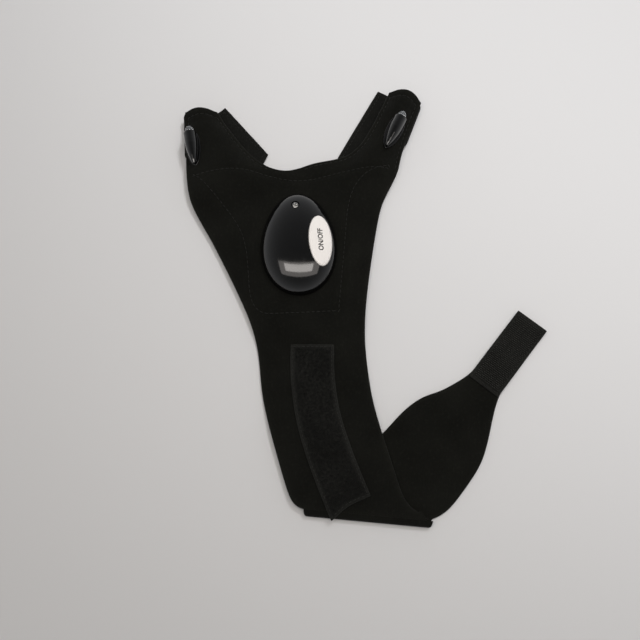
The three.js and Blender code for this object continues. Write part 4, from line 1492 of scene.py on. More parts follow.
    def build(self, stitches: Repeat) -> None:
        """Make the panel, the lining under it and their stitches.

        Args:
            stitches: the tree of stitches.
        """
        seams = self.seams()
        hole = self.surface.loops[1]
        panel = Sheet(
            "hand_panel", [self.surface.loops[0], hole], FABRIC,
            lambda points: self.underside(points) + FABRIC / 2, KNIT, relief=self.relief(seams),
            flush=to_fold,
        ).build()
        rows = [path for kind in seams.values() for path in kind]
        thread = sew(stitches, "panel_stitches", panel, rows, 0.05 * MM, PANEL_STITCH)
        register(panel, Body.ROOT, Slot.KNIT, "dorsal_panel")
        register(thread, Body.ROOT, Slot.KNIT)
        self.sides(panel)
        thickness = self.lining_thickness
        patch = Sheet(
            "palm_lining", [self.lining.loops[0]], thickness,
            lambda points: np.full(len(points), thickness / 2), STRETCH, step=2.0 * MM,
        ).build()
        register(patch, Body.ROOT, Slot.STRETCH, "lining_patch")


@dataclass
class Roll:
    """A half turn of cloth that joins two layers along their common edge.

    Attributes:
        name: the piece's name.
        path: plan points along the edge.
        outward: unit plan direction away from the layers.
        upper: height of the middle of the upper layer at each point.
        lower: height of the middle of the lower layer at each point.
        reach: how far the middle of the roll stands out.
        half: half of the cloth's thickness.
        corner: length over which the roll draws in at each end.
        finish: its finish.
    """

    name: str
    path: Plan
    outward: Plan
    upper: np.ndarray
    lower: np.ndarray
    reach: float
    half: float
    corner: float
    finish: Finish

    def build(self) -> Piece:
        """Sweep the half turn along the edge and close both ends.

        Returns:
            The finished piece.
        """
        turns = 16
        run = np.concatenate([[0], np.cumsum(np.linalg.norm(np.diff(self.path, axis=0), axis=1))])
        vertices, plan = [], []
        ring = 2 * (turns + 1)
        for row, spot in enumerate(self.path):
            inside = min(run[row], run[-1] - run[row])
            bulge = self.reach * math.sqrt(max(0.0, 1 - max(0.0, 1 - inside / self.corner) ** 2))
            thick = self.half * max(0.3, math.sqrt(max(0.0, 1 - max(0.0, 1 - inside / self.half) ** 2)))
            middle, rise = (self.upper[row] + self.lower[row]) / 2, (self.upper[row] - self.lower[row]) / 2
            for side in (1, -1):
                for k in range(turns + 1):
                    angle = side * (math.pi / 2 - math.pi * k / turns)
                    out = max(0.0, (bulge + side * thick) * math.cos(angle))
                    lift = (rise + side * thick) * math.sin(angle)
                    vertices.append((*(spot + self.outward * out), middle + lift))
                    plan.append((run[row], rise * angle))
        faces = skin(0, len(self.path), ring)
        faces.append(tuple(reversed(range(ring))))
        faces.append(tuple(range((len(self.path) - 1) * ring, len(self.path) * ring)))
        made = new_object(self.name, vertices, faces, self.finish)
        shape = bmesh.new()
        shape.from_mesh(made.data)
        bmesh.ops.recalc_face_normals(shape, faces=shape.faces)
        shape.to_mesh(made.data)
        shape.free()
        sharpen(made, FLUSH_CREASE)
        Sheet.paint(made, np.array(plan), np.full(len(vertices), 0.05))
        return made


@dataclass
class SleeveBand:
    """A stretch band that closes a sleeve at the back of the finger, hemmed along its rim.

    Attributes:
        node: the CAD node that it stands for.
        name: the piece's name.
        free_edge: corners of the free edge, with how far the cloth has stretched from its pattern, in mm.
        hem: distance of the stitches from the rim.
        area: flat area in square metres; not used.
        thickness: thickness of the cloth.
    """

    node: str
    name: str
    free_edge: dict
    hem: float = 2.2 * MM
    area: float = 0.0013
    thickness: float = 1.7 * MM

    def build(self, stitches: Repeat) -> None:
        """Make the band and its hem stitches.

        Args:
            stitches: the tree of stitches.
        """
        pattern = Surface(self.node).loops[0]
        for place, shift in self.free_edge.items():
            nearest = int(np.argmin(np.linalg.norm(pattern - np.array(place) * MM, axis=1)))
            pattern[nearest] += np.array(shift) * MM
        line = inset(relaxed(pattern, MM), self.hem)
        path = np.vstack([line, line[:1]])
        thickness = self.thickness

        def relief(points: Plan) -> np.ndarray:
            """A sewn channel inside the hem, and soft folds.

            Args:
                points: plan points.

            Returns:
                Change of height at each point.
            """
            channel = -0.3 * MM * np.exp(-((distance(points, line) / (0.9 * MM)) ** 2))
            return channel + 0.2 * MM * ripple(points, 9 * MM, 30, 2, 4.2)

        band = Sheet(
            self.name, [pattern], thickness, lambda points: np.full(len(points), thickness / 2 + 0.25 * MM),
            STRETCH, relief=relief, step=1.2 * MM,
        ).build()
        thread = sew(stitches, f"{self.name}_stitches", band, [path], 0.04 * MM, BAND_STITCH)
        register(band, Body.ROOT, Slot.STRETCH, self.node)
        register(thread, Body.ROOT, Slot.STRETCH)


@dataclass
class WristStrap:
    """The strap past the palm: its fold, its shaped tail, and the loop and hook tapes."""

    fold_ends: tuple = (-35.6 * MM, 36.6 * MM)
    fold_reach: float = 2.7 * MM
    corner: float = 2.2 * MM
    hollow: float = 0.6 * MM
    axis_z: float = 2.6 * MM
    hook_width: float = 20 * MM
    hook_length: float = 50 * MM
    hook_turn: float = math.radians(-38.5)
    hook_base: float = 0.9 * MM
    loop_base: float = 0.9 * MM
    loop_corner: tuple = (1.6 * MM, -4.0 * MM)  # how far its corner is stretched over the fold
    selvedge: float = 2.2 * MM  # bare edge of the loop tape
    hook_bare: float = 4.4 * MM  # bare edges of the hook tape, both together
    hook_pitch: tuple = (1.25 * MM, 1.15 * MM)  # across and along the tape
    hook_lap: float = 12 * MM  # hook tape over the tail's end
    hook_seam: float = 1.2 * MM  # stitches in from its edge

    def build(self, stitches: Repeat, panel: HandPanel) -> None:
        """Make all four parts of the strap.

        Args:
            stitches: the tree of stitches.
            panel: the panel under the tape.
        """
        self.fold()
        self.tail()
        self.loop_tape(stitches, panel)
        self.hook_tape(stitches)

    def fold(self) -> None:
        """The half turn of cloth between the strap and its tail."""
        low, high = self.fold_ends
        places = (low + high) / 2 + np.sin(np.linspace(-math.pi / 2, math.pi / 2, 91)) * (high - low) / 2
        radius = self.hollow + FABRIC / 2
        level = np.full(len(places), self.axis_z)
        made = Roll(
            "strap_fold_cloth", FOLD_MIDDLE + places[:, None] * FOLD_ALONG, -FOLD_ACROSS, level + radius,
            level - radius, self.fold_reach, FABRIC / 2, self.corner, KNIT,
        ).build()
        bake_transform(made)
        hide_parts("strap_fold")
        log.info("strap_fold_cloth: %d faces", len(made.data.polygons))

    def tail(self) -> None:
        """The strap's end: wide at the fold, necked down to the hook tape."""
        outline = Surface("strap_tail").loops[0]

        def relief(points: Plan) -> np.ndarray:
            """Soft folds that never dip under the table.

            Args:
                points: plan points.

            Returns:
                Change of height at each point.
            """
            calm = ramp(fold_side(points), 2 * MM, 20 * MM)
            neck = 1 - ramp(points[:, 0], 84 * MM, 98 * MM)
            return calm * neck * 0.5 * MM * (0.75 + 0.75 * ripple(points, 19 * MM, 52, 2.2, 8.8))

        tail = Sheet(
            "strap_tail_cloth", [outline], FABRIC, lambda points: np.full(len(points), FABRIC / 2),
            KNIT, relief=relief, flush=to_fold,
        ).build()
        register(tail, Body.TAIL, Slot.KNIT, "strap_tail")

    def loop_tape(self, stitches: Repeat, panel: HandPanel) -> None:
        """Woven tape with a field of loops, sewn down along both selvedges.

        Args:
            stitches: the tree of stitches.
            panel: the panel under the tape.
        """
        outline = Surface("loop_strip").loops[0]
        foot = int(np.argmin(fold_side(outline)))
        outline[foot] += np.array(self.loop_corner)
        outline = relaxed(outline, MM)

        def bed(points: Plan) -> np.ndarray:
            """Middle of the woven tape on the strap."""
            return panel.upper(points) + 0.15 * MM + self.loop_base / 2

        tape = Sheet("loop_tape", [outline], self.loop_base, bed, WOVEN, step=1.1 * MM).build()
        line = inset(outline, 1.1 * MM)
        row = np.vstack([line, line[:1]])
        thread = sew(stitches, "loop_tape_stitches", tape, [row], 0.03 * MM, TAPE_STITCH)
        field_edge = inset(outline, self.selvedge)
        inner = Sheet("pile_bed", [field_edge], 0.2 * MM, bed, LOOPS, step=2.5 * MM)
        points, triangles = inner.fill([field_edge])
        heights = inner.smooth(bed(points), triangles) + self.loop_base / 2
        carrier = new_object("pile_field", np.column_stack([points, heights]), triangles)
        pile = pile_repeat().lay(
            "loop_pile", carrier, LOOPS, Density=1.9e6, Height=0.75 * MM, Thread=0.11 * MM, Seed=11
        )
        register(tape, Body.ROOT, Slot.PILE, "loop_strip")
        register(pile, Body.ROOT, Slot.PILE)
        register(thread, Body.ROOT, Slot.PILE)

    def hook_tape(self, stitches: Repeat) -> None:
        """Woven tape with rows of hooks, lapped over the end of the tail.

        Args:
            stitches: the tree of stitches.
        """
        corner = Surface("hook_tab").loops[0]
        middle = corner.mean(0)
        along = np.array([-math.sin(self.hook_turn), math.cos(self.hook_turn)])
        across = np.array([math.cos(self.hook_turn), math.sin(self.hook_turn)])
        base_z = FABRIC + GAP

        def lie(points: Plan) -> np.ndarray:
            """Droop past the lap, and a slight lift at the tip.

            Args:
                points: plan points.

            Returns:
                Height of the middle of the tape.
            """
            share = ((points - middle) @ along) / self.hook_length + 0.5
            droop = 0.9 * MM * ramp(share, 0.24, 0.6)
            curl = 1.5 * MM * ramp(share, 0.7, 1.0) ** 2
            return base_z + self.hook_base / 2 - droop + curl

        tape = Sheet("hook_tape_base", [corner], self.hook_base, lie, WOVEN, step=1.1 * MM).build()
        line = inset(relaxed(corner, MM), self.hook_seam)
        lap = middle + along * (self.hook_lap - self.hook_length / 2)
        reach = across * (self.hook_width / 2 - self.hook_seam)
        seams = [np.vstack([line, line[:1]]), np.array([lap - reach, lap, lap + reach])]
        thread = sew(stitches, "hook_tape_stitches", tape, seams, 0.03 * MM, TAPE_STITCH)
        pitch_across, pitch_along = self.hook_pitch
        columns = int((self.hook_width - self.hook_bare) / pitch_across)
        rows = int((self.hook_length - self.hook_bare) / pitch_along)
        spots = []
        for row in range(rows + 1):
            for place in range(columns + 1):
                shift = (place - columns / 2 + 0.25 * (-1) ** row) * pitch_across
                spots.append(middle + across * shift + along * (row - rows / 2) * pitch_along)
        spots = np.array(spots)
        carrier = new_object("hook_points", np.column_stack([spots, lie(spots) + self.hook_base / 2]), [])
        hooks = hook_repeat().lay(
            "hook_field", carrier, BRISTLE, Height=0.72 * MM, Wire=0.13 * MM, Turn=self.hook_turn, Seed=5
        )
        register(tape, Body.TAIL, Slot.HOOKS, "hook_tab")
        register(hooks, Body.TAIL, Slot.HOOKS)
        register(thread, Body.TAIL, Slot.HOOKS)


# -------- the battery pod


@dataclass
class Pod:
    """The egg-shaped battery pod: glossy cover, push button with its print, and the cover's screw."""

    half_width: float = 23.0 * MM
    half_length: float = 32.8 * MM
    rise: float = 11.8 * MM
    fullness: float = 2.35
    taper: float = 0.1
    shift: float = -0.8 * MM
    lean: float = math.radians(2.2)
    wall: float = 1.6 * MM
    rim_z: float = 4.7 * MM
    screw_at: tuple = (-1.2 * MM, 22.4 * MM)
    screw_head: float = 2.25 * MM
    screw_rise: float = 1.4 * MM
    screw_sunk: float = 1.1 * MM
    button_at: tuple = (13.2 * MM, -1.4 * MM)
    button_half: tuple = (7.0 * MM, 16.0 * MM)
    button_turn: float = math.radians(1.7)
    button_proud: float = 0.7 * MM
    button_edge: float = 0.8 * MM
    plunger_top: float = 10.1 * MM
    button_lip: float = 1.3 * MM
    button_stem: float = 2.2 * MM
    button_foot: float = 1.9 * MM  # the lip's lower edge over the cover's rim
    lip_drop: float = 1.9 * MM  # the lip's top under the dome's face
    roof_drop: float = 2.6 * MM  # the button's hollow underside under the dome's face
    egg_sides: int = 144
    egg_rings: int = 44
    letter_height: float = 3.1 * MM
    letter_length: float = 13.9 * MM

    @property
    def place(self) -> Matrix:
        """The pod's own frame in the glove's."""
        return Matrix.Translation((0, self.shift, 0)) @ Matrix.Rotation(self.lean, 4, "Z")

    def height(self, x: float, y: float, grow: float = 0.0) -> float:
        """Height of the dome's face over a point, for a face moved out by grow.

        Args:
            x: place in the pod's frame.
            y: place in the pod's frame.
            grow: how far the face is moved out.

        Returns:
            The height.
        """
        along = y / (self.half_length + grow)
        across = x / ((self.half_width + grow) * (1 - self.taper * along))
        share = min(1.0, math.hypot(across, along))
        return self.rim_z + (self.rise + grow) * (1 - share**self.fullness) ** (1 / self.fullness)

    def egg(self, grow: float) -> tuple[list, list]:
        """Rings of the dome's face from rim to pole.

        Args:
            grow: how far the face is moved out.

        Returns:
            Vertices, ring by ring with the pole last, and the faces, pointing out.
        """
        sides, rings = self.egg_sides, self.egg_rings
        vertices = []
        for ring in range(rings):
            angle = (ring / rings) ** 1.25 * math.pi / 2
            share = math.cos(angle) ** (2 / self.fullness)
            lift = math.sin(angle) ** (2 / self.fullness)
            for i in range(sides):
                turn = 2 * math.pi * i / sides
                along = share * math.sin(turn)
                across = share * math.cos(turn) * (1 - self.taper * along)
                vertices.append((
                    across * (self.half_width + grow),
                    along * (self.half_length + grow),
                    self.rim_z + (self.rise + grow) * lift,
                ))
        vertices.append((0, 0, self.rim_z + self.rise + grow))
        faces = skin(0, rings, sides)
        last = (rings - 1) * sides
        faces += [(last + i, last + (i + 1) % sides, rings * sides) for i in range(sides)]
        return vertices, faces

    def shell(self) -> Piece:
        """The cover's closed shell before its openings are cut.

        Returns:
            The shell.
        """
        outer, faces = self.egg(0.0)
        inner, lining = self.egg(-self.wall)
        count, sides = len(outer), self.egg_sides
        faces = faces + [tuple(reversed([i + count for i in face])) for face in lining]
        for i in range(sides):
            j = (i + 1) % sides
            faces.append((j, i, i + count, j + count))
        return new_object("pod_shell", outer + inner, faces, GLOSS)

    def oval(self, margin: float, sides: int = 96) -> Plan:
        """The button's plan outline, let out by a margin.

        Args:
            margin: how far.
            sides: points round it.

        Returns:
            The outline.
        """
        turn = 2 * math.pi * np.arange(sides) / sides
        points = np.column_stack([
            (self.button_half[0] + margin) * np.cos(turn), (self.button_half[1] + margin) * np.sin(turn)
        ])
        c, s = math.cos(self.button_turn), math.sin(self.button_turn)
        return points @ np.array([[c, s], [-s, c]]) + np.array(self.button_at)

    def bar(self, name: str, radius: float, z0: float, z1: float, sides: int = 64) -> Piece:
        """A round bar over the screw's place."""
        bar = lathe([(0, z0), (radius, z0), (radius, z1), (0, z1)], sides)
        return move(new_object(name, *bar), Matrix.Translation((*self.screw_at, 0)))

    def true_normals(self, made: Piece, grow: float) -> None:
        """Give the outer face the exact normals of the dome, so that its reflections run smoothly.

        Args:
            made: the cover.
            grow: how far its face is moved out.
        """
        mesh = made.data
        places = np.zeros(len(mesh.vertices) * 3)
        mesh.vertices.foreach_get("co", places)
        places = places.reshape(-1, 3)

        def level(spots: np.ndarray) -> np.ndarray:
            """1 on the dome's face, less inside it.

            Args:
                spots: places in space.

            Returns:
                The level of each place.
            """
            along = spots[:, 1] / (self.half_length + grow)
            across = spots[:, 0] / ((self.half_width + grow) * (1 - self.taper * along))
            lift = np.maximum(spots[:, 2] - self.rim_z, 0) / (self.rise + grow)
            return np.hypot(across, along) ** self.fullness + lift**self.fullness

        slope = np.zeros_like(places)
        tiny = 1e-6
        for k in range(3):
            step = np.zeros(3)
            step[k] = tiny
            slope[:, k] = (level(places + step) - level(places - step)) / (2 * tiny)
        slope /= np.linalg.norm(slope, axis=1)[:, None] + 1e-12
        on_face = np.abs(level(places) - 1) < 2e-3
        normals = []
        for face in mesh.polygons:
            flat = np.array(face.normal)
            for index in face.vertices:
                use = on_face[index] and slope[index] @ flat > 0.8
                normals.append(tuple(slope[index] if use else flat))
        mesh.normals_split_custom_set(normals)

    def cover(self) -> None:
        """The glossy cover with its button opening and screw recess."""
        made = self.shell()
        seat = self.height(*self.screw_at) - self.screw_rise - self.screw_sunk
        post = self.bar("post", self.screw_head + GAP + 1.5 * MM, seat - self.wall, self.rim_z + self.rise)
        inside = self.egg(-0.25 * MM)
        count = len(inside[0])
        closed = inside[1] + [tuple(reversed(range(self.egg_sides)))]
        post = combine(post, new_object("trim", inside[0][:count], closed), "INTERSECT")
        made = combine(made, post, "UNION")
        made = combine(made, self.bar("recess", self.screw_head + GAP, seat, 0.03), "DIFFERENCE")
        made = combine(made, self.bar("passage", 1.3 * MM, 0.0, 0.03, 32), "DIFFERENCE")
        opening = new_object("opening", *column(self.oval(GAP), 0.0, 0.03))
        made = combine(made, opening, "DIFFERENCE")
        made.name = "pod_shell"
        self.true_normals(made, 0.0)
        move(made, self.place)
        register(made, Body.COVER, Slot.GLOSS, "pod_cover")

    def button(self) -> None:
        """The oval button: a face that follows the dome, a rounded edge, a lip below and a stem."""
        sides, rings = 96, 22
        outline = self.oval(0.0, sides)
        centre = np.array(self.button_at)
        vertices = []
        for ring in range(rings, 0, -1):
            share = 1 - ((rings - ring) / rings) ** 1.4
            for x, y in centre + (outline - centre) * share:
                edge = (1 - share) * self.button_half[0]
                curve = max(0.0, self.button_edge - edge)
                drop = self.button_edge - math.sqrt(max(0.0, self.button_edge**2 - curve**2))
                vertices.append((x, y, self.height(x, y, self.button_proud) - drop))
        vertices.append((*centre, self.height(*centre, self.button_proud)))
        top = len(vertices) - 1
        faces = skin(0, rings, sides)
        last = (rings - 1) * sides
        faces += [(last + i, last + (i + 1) % sides, top) for i in range(sides)]
        lip = self.oval(self.button_lip, sides)
        foot = self.rim_z + self.button_foot
        stem = self.button_stem
        below = []
        for k in range(sides):
            x, y = outline[k]
            lx, ly = lip[k]
            under = self.height(lx, ly, -self.lip_drop)
            turn = math.atan2(y - centre[1], x - centre[0])
            sx, sy = centre[0] + stem * math.cos(turn), centre[1] + stem * math.sin(turn)
            roof = []
            for share in (0.84, 0.8, 0.55):
                rx, ry = centre + (np.array([x, y]) - centre) * share
                roof.append((rx, ry, foot if share > 0.82 else self.height(rx, ry, -self.roof_drop)))
            below.append([
                (x, y, max(foot + 0.4 * MM, min(self.height(x, y, -1.8 * MM), under + 0.4 * MM))),
                (lx, ly, max(foot + 0.3 * MM, under)), (lx, ly, foot), *roof,
                (sx, sy, self.height(*centre, -self.roof_drop)), (sx, sy, self.plunger_top + GAP),
            ])
        start = len(vertices)
        levels = len(below[0])
        for level in range(levels):
            vertices += [below[k][level] for k in range(sides)]
        rows = [0] + [start + level * sides for level in range(levels)]
        for upper, lower in zip(rows, rows[1:]):
            for i in range(sides):
                j = (i + 1) % sides
                faces.append((upper + j, upper + i, lower + i, lower + j))
        faces.append(tuple(reversed(range(rows[-1], rows[-1] + sides))))
        made = new_object("push_button", vertices, faces, WHITE)
        sharpen(made, 50)
        move(made, self.place)
        register(made, Body.BUTTON, Slot.WHITE, "button")

    def print(self) -> None:
        """The words for on and off, printed up the middle of the button."""
        words = bpy.data.curves.new("words", "FONT")
        words.body = "ON/OFF"
        words.size = 1.0
        words.offset = 0.022
        words.align_x = words.align_y = "CENTER"
        words.resolution_u = 4
        carrier = linked("words", words)
        bpy.context.view_layer.update()
        graph = bpy.context.evaluated_depsgraph_get()
        mesh = bpy.data.meshes.new_from_object(carrier.evaluated_get(graph), depsgraph=graph)
        bpy.data.objects.remove(carrier)
        shape = bmesh.new()
        shape.from_mesh(mesh)
        bmesh.ops.remove_doubles(shape, verts=shape.verts, dist=1e-5)
        places = np.array([v.co[:2] for v in shape.verts])
        low, high = places.min(0), places.max(0)
        for vert in shape.verts:
            x = (vert.co.x - (low[0] + high[0]) / 2) / (high[0] - low[0]) * self.letter_length
            y = (vert.co.y - (low[1] + high[1]) / 2) / (high[1] - low[1]) * self.letter_height
            vert.co = (-y, x, 0)
        cut_step = 0.6 * MM
        for axis, reach in ((0, self.letter_height), (1, self.letter_length)):
            for k in range(1, int(reach / cut_step)):
                cut = Vector((0, 0, 0))
                cut[axis] = -reach / 2 + k * 0.6 * MM
                direction = Vector((1, 0, 0)) if axis == 0 else Vector((0, 1, 0))
                everything = [*shape.verts, *shape.edges, *shape.faces]
                bmesh.ops.bisect_plane(shape, geom=everything, plane_co=cut, plane_no=direction)
        turn = Matrix.Rotation(self.button_turn, 2)
        thick = 0.06 * MM
        for vert in shape.verts:
            x, y = turn @ vert.co.xy + Vector(self.button_at)
            vert.co = (x, y, self.height(x, y, self.button_proud) - thick * 0.3)
        shape.normal_update()
        for face in shape.faces:
            if face.normal.z < 0:
                face.normal_flip()
        grown = bmesh.ops.extrude_face_region(shape, geom=list(shape.faces))
        for item in grown["geom"]:
            if isinstance(item, bmesh.types.BMVert):
                item.co.z += thick
        bmesh.ops.recalc_face_normals(shape, faces=shape.faces)
        shape.to_mesh(mesh)
        shape.free()
        made = linked("button_print", mesh)
        mesh.materials.clear()
        mesh.materials.append(INK.material())
        move(made, self.place)
        register(made, Body.BUTTON, Slot.WHITE)

    def screw(self) -> None:
        """Pan-head screw with a crossed recess."""
        seat = self.height(*self.screw_at) - self.screw_rise - self.screw_sunk + GAP
        top = seat + self.screw_rise
        r = self.screw_head
        profile = [(0, seat - 6 * MM), (0.5 * MM, seat - 5.6 * MM), (MM, seat - 5 * MM)]
        pitch, depth = 0.6 * MM, 0.16 * MM
        turns = 7
        for k in range(turns * 2):
            profile.append((MM - (depth if k % 2 else 0), seat - 4.8 * MM + k * pitch / 2))
        profile += [(MM, seat), (r, seat), (r, seat + 0.5 * MM)]
        for angle in (25, 50, 75):
            turn = math.radians(angle)
            lift = (self.screw_rise - 0.5 * MM) * math.sin(turn)
            profile.append((r * (0.45 + 0.55 * math.cos(turn)), seat + 0.5 * MM + lift))
        profile += [(r * 0.3, top), (0, top)]
        made = new_object("pod_screw", *lathe(profile, 48), STEEL)
        move(made, Matrix.Translation((*self.screw_at, 0)))
        for turn in (math.radians(20), math.radians(110)):
            box = bpy.data.meshes.new("slot")
            shape = bmesh.new()
            bmesh.ops.create_cube(shape, size=1.0)
            shape.to_mesh(box)
            shape.free()
            cutter = linked("slot", box)
            size = Matrix.Diagonal((r * 1.25, 0.55 * MM, 1.3 * MM, 1))
            box.transform(Matrix.Translation((*self.screw_at, top)) @ Matrix.Rotation(turn, 4, "Z") @ size)
            made = combine(made, cutter, "DIFFERENCE")
        made.name = "pod_screw"
        sharpen(made, 40)
        move(made, self.place)
        register(made, Body.SCREW, Slot.STEEL, "cover_screw")

    def build(self) -> None:
        """Make every visible piece of the pod."""
        self.cover()
        self.button()
        self.print()
        self.screw()


# -------- the lights


@dataclass
class Light:
    """A sleeve's light: a leaf-shaped glossy housing and a clear 5 mm diode in it."""

    finger: str
    length: float = 23 * MM
    barrel: float = 4.0 * MM
    rim: float = 1.2 * MM
    plate: float = 1.2 * MM
    axis_z: float = 3.0 * MM
    led: float = 2.5 * MM
    led_length: float = 8.6 * MM
    led_show: float = 4.2 * MM
    grain: float = 0.16 * MM
    frame: Matrix = field(init=False)

    def __post_init__(self) -> None:
        """Find the light's own frame from its CAD solids."""
        housing = frame["nodes"][f"{self.finger}_light_housing"].data
        lens = frame["nodes"][f"{self.finger}_led"].data
        under = Vector((0, 0, 0))
        for face in housing.polygons:
            if face.normal.z < -0.5:
                under += face.normal * face.area**2
        up = -under.normalized()
        shell = np.array([v.co for v in housing.vertices])
        glass = np.array([v.co for v in lens.vertices])
        heading = Vector(glass.mean(0) - shell.mean(0))
        forward = (heading - up * heading.dot(up)).normalized()
        right = forward.cross(up)
        side = Vector(glass.mean(0)).dot(right)
        reach = (glass @ np.array(forward)).max() - self.length / 2 - self.led_show
        low = (shell @ np.array(up)).min()
        turn = Matrix((right, forward, up)).transposed().to_4x4()
        self.frame = Matrix.Translation(right * side + forward * reach + up * low) @ turn

    def leaf(self) -> Plan:
        """The housing's plan: a leaf with its point to the back.

        Returns:
            The outline.
        """
        half, front = self.barrel + self.rim, self.length / 2
        rows = [(0, -1), (0.3, -0.9), (0.55, -0.72), (0.82, -0.4), (0.96, -0.05), (1, 0.35), (0.93, 0.68),
                (0.72, 0.92), (0.4, 0.99), (0, 1)]
        right = [(half * x, front * y) for x, y in rows]
        left = [(-x, y) for x, y in reversed(rows[1:-1])]
        left = [(half * x, front * y) for x, y in left]
        return relaxed(np.array(right + left), 0.5 * MM, 14)

    def housing(self) -> Piece:
        """Leaf plate and tapering barrel, blended as one moulding, with the diode's bore.

        Returns:
            The finished housing.
        """
        front = self.length / 2
        plate = new_object("plate", *column(self.leaf(), 0.0, self.plate))
        r = self.barrel
        profile = [(0, -front + 0.6 * MM), (0.22 * r, -front + 0.9 * MM), (0.42 * r, -front + 3 * MM),
                   (0.62 * r, -front + 6 * MM), (0.84 * r, -front + 10 * MM), (0.97 * r, -front + 14 * MM),
                   (r, -front + 17 * MM), (r, front - 0.9 * MM), (r - 0.25 * MM, front - 0.25 * MM),
                   (r - 0.8 * MM, front), (0, front)]
        lie = Matrix.Translation((0, 0, self.axis_z)) @ Matrix.Rotation(-math.pi / 2, 4, "X")
        body = move(new_object("body", *lathe(profile, 72)), lie)
        made = combine(plate, body, "UNION")
        square = np.array([(-1, -1), (1, -1), (1, 1), (-1, 1)]) * 20 * MM
        floor = new_object("floor", *column(square, -0.02, 0.0))
        made = combine(made, floor, "DIFFERENCE")
        rear = front + self.led_show - self.led_length
        bore = [(0, rear - GAP), (self.led + 0.7 * MM, rear - GAP), (self.led + 0.7 * MM, rear + 1.3 * MM),
                (self.led + GAP, rear + 1.4 * MM), (self.led + GAP, front + 2 * MM), (0, front + 2 * MM)]
        made = combine(made, move(new_object("bore", *lathe(bore, 72)), lie), "DIFFERENCE")
        shrink = made.modifiers.new("skin", "REMESH")
        shrink.mode, shrink.voxel_size = "VOXEL", self.grain
        soft = made.modifiers.new("soft", "SMOOTH")
        soft.factor, soft.iterations = 0.5, 9
        settle(made)
        made.name = f"{self.finger}_lamp_body"
        made.data.materials.clear()
        made.data.materials.append(GLOSS.material())
        made.data.shade_smooth()
        return move(made, self.frame)

    def diode(self) -> tuple[Piece, Piece]:
        """The clear lens and the silvered cup inside it.

        Returns:
            The lens and the cup.
        """
        tip = self.length / 2 + self.led_show
        rear = tip - self.led_length
        r = self.led
        profile = [(0, rear), (r + 0.3 * MM, rear), (r + 0.4 * MM, rear + 0.1 * MM),
                   (r + 0.4 * MM, rear + 0.9 * MM), (r + 0.3 * MM, rear + MM), (r, rear + 1.05 * MM)]
        for k in range(13):
            angle = math.pi / 2 * k / 12
            profile.append((r * math.cos(angle) if k < 12 else 0, tip - r + r * math.sin(angle)))
        lie = Matrix.Translation((0, 0, self.axis_z)) @ Matrix.Rotation(-math.pi / 2, 4, "X")
        lens = move(new_object(f"{self.finger}_lamp_lens", *lathe(profile, 48), RESIN), self.frame @ lie)
        cup = [(0, rear - 1.6 * MM), (0.35 * MM, rear - 1.6 * MM), (0.35 * MM, rear + 2.4 * MM),
               (1.25 * MM, rear + 3.6 * MM), (1.25 * MM, rear + 4.3 * MM), (1.1 * MM, rear + 4.3 * MM),
               (0.5 * MM, rear + 3.8 * MM), (0, rear + 3.8 * MM)]
        frame_part = move(new_object(f"{self.finger}_lamp_cup", *lathe(cup, 32), SILVER), self.frame @ lie)
        sharpen(lens, 40)
        sharpen(frame_part, 40)
        return lens, frame_part

    def build(self) -> None:
        """Make the light's visible pieces."""
        register(self.housing(), Body.ROOT, Slot.GLOSS, f"{self.finger}_light_housing")
        lens, cup = self.diode()
        register(lens, Body.ROOT, Slot.RESIN, f"{self.finger}_led")
        register(cup, Body.ROOT, Slot.STEEL)


# -------- parts that keep their CAD shape


class InnerParts:
    """Pieces inside the pod and the wires: their CAD shape stays and gets its real finish."""

    finishes = {
        "pod_base": GREY, "switch_body": GREY, "switch_plunger": WHITE, "circuit_board": BOARD,
        "control_chip": CHIP, "resistor": CERAMIC, "coin_cell_lower": STEEL, "coin_cell_upper": STEEL,
        "contact_positive": BRASS, "contact_negative": BRASS, "thumb_light_base": GREY,
        "index_light_base": GREY, "thumb_red_wire": RED_PVC, "index_red_wire": RED_PVC,
        "thumb_black_wire": BLACK_PVC, "index_black_wire": BLACK_PVC,
    }

    def dress(self) -> None:
        """Give each kept node its material."""
        for node, finish in self.finishes.items():
            made = frame["nodes"][node]
            if not made.material_slots:
                made.data.materials.append(None)
            for slot in made.material_slots:
                slot.material = finish.material()
            log.info("%s: %s", node, finish.name)


# -------- studio


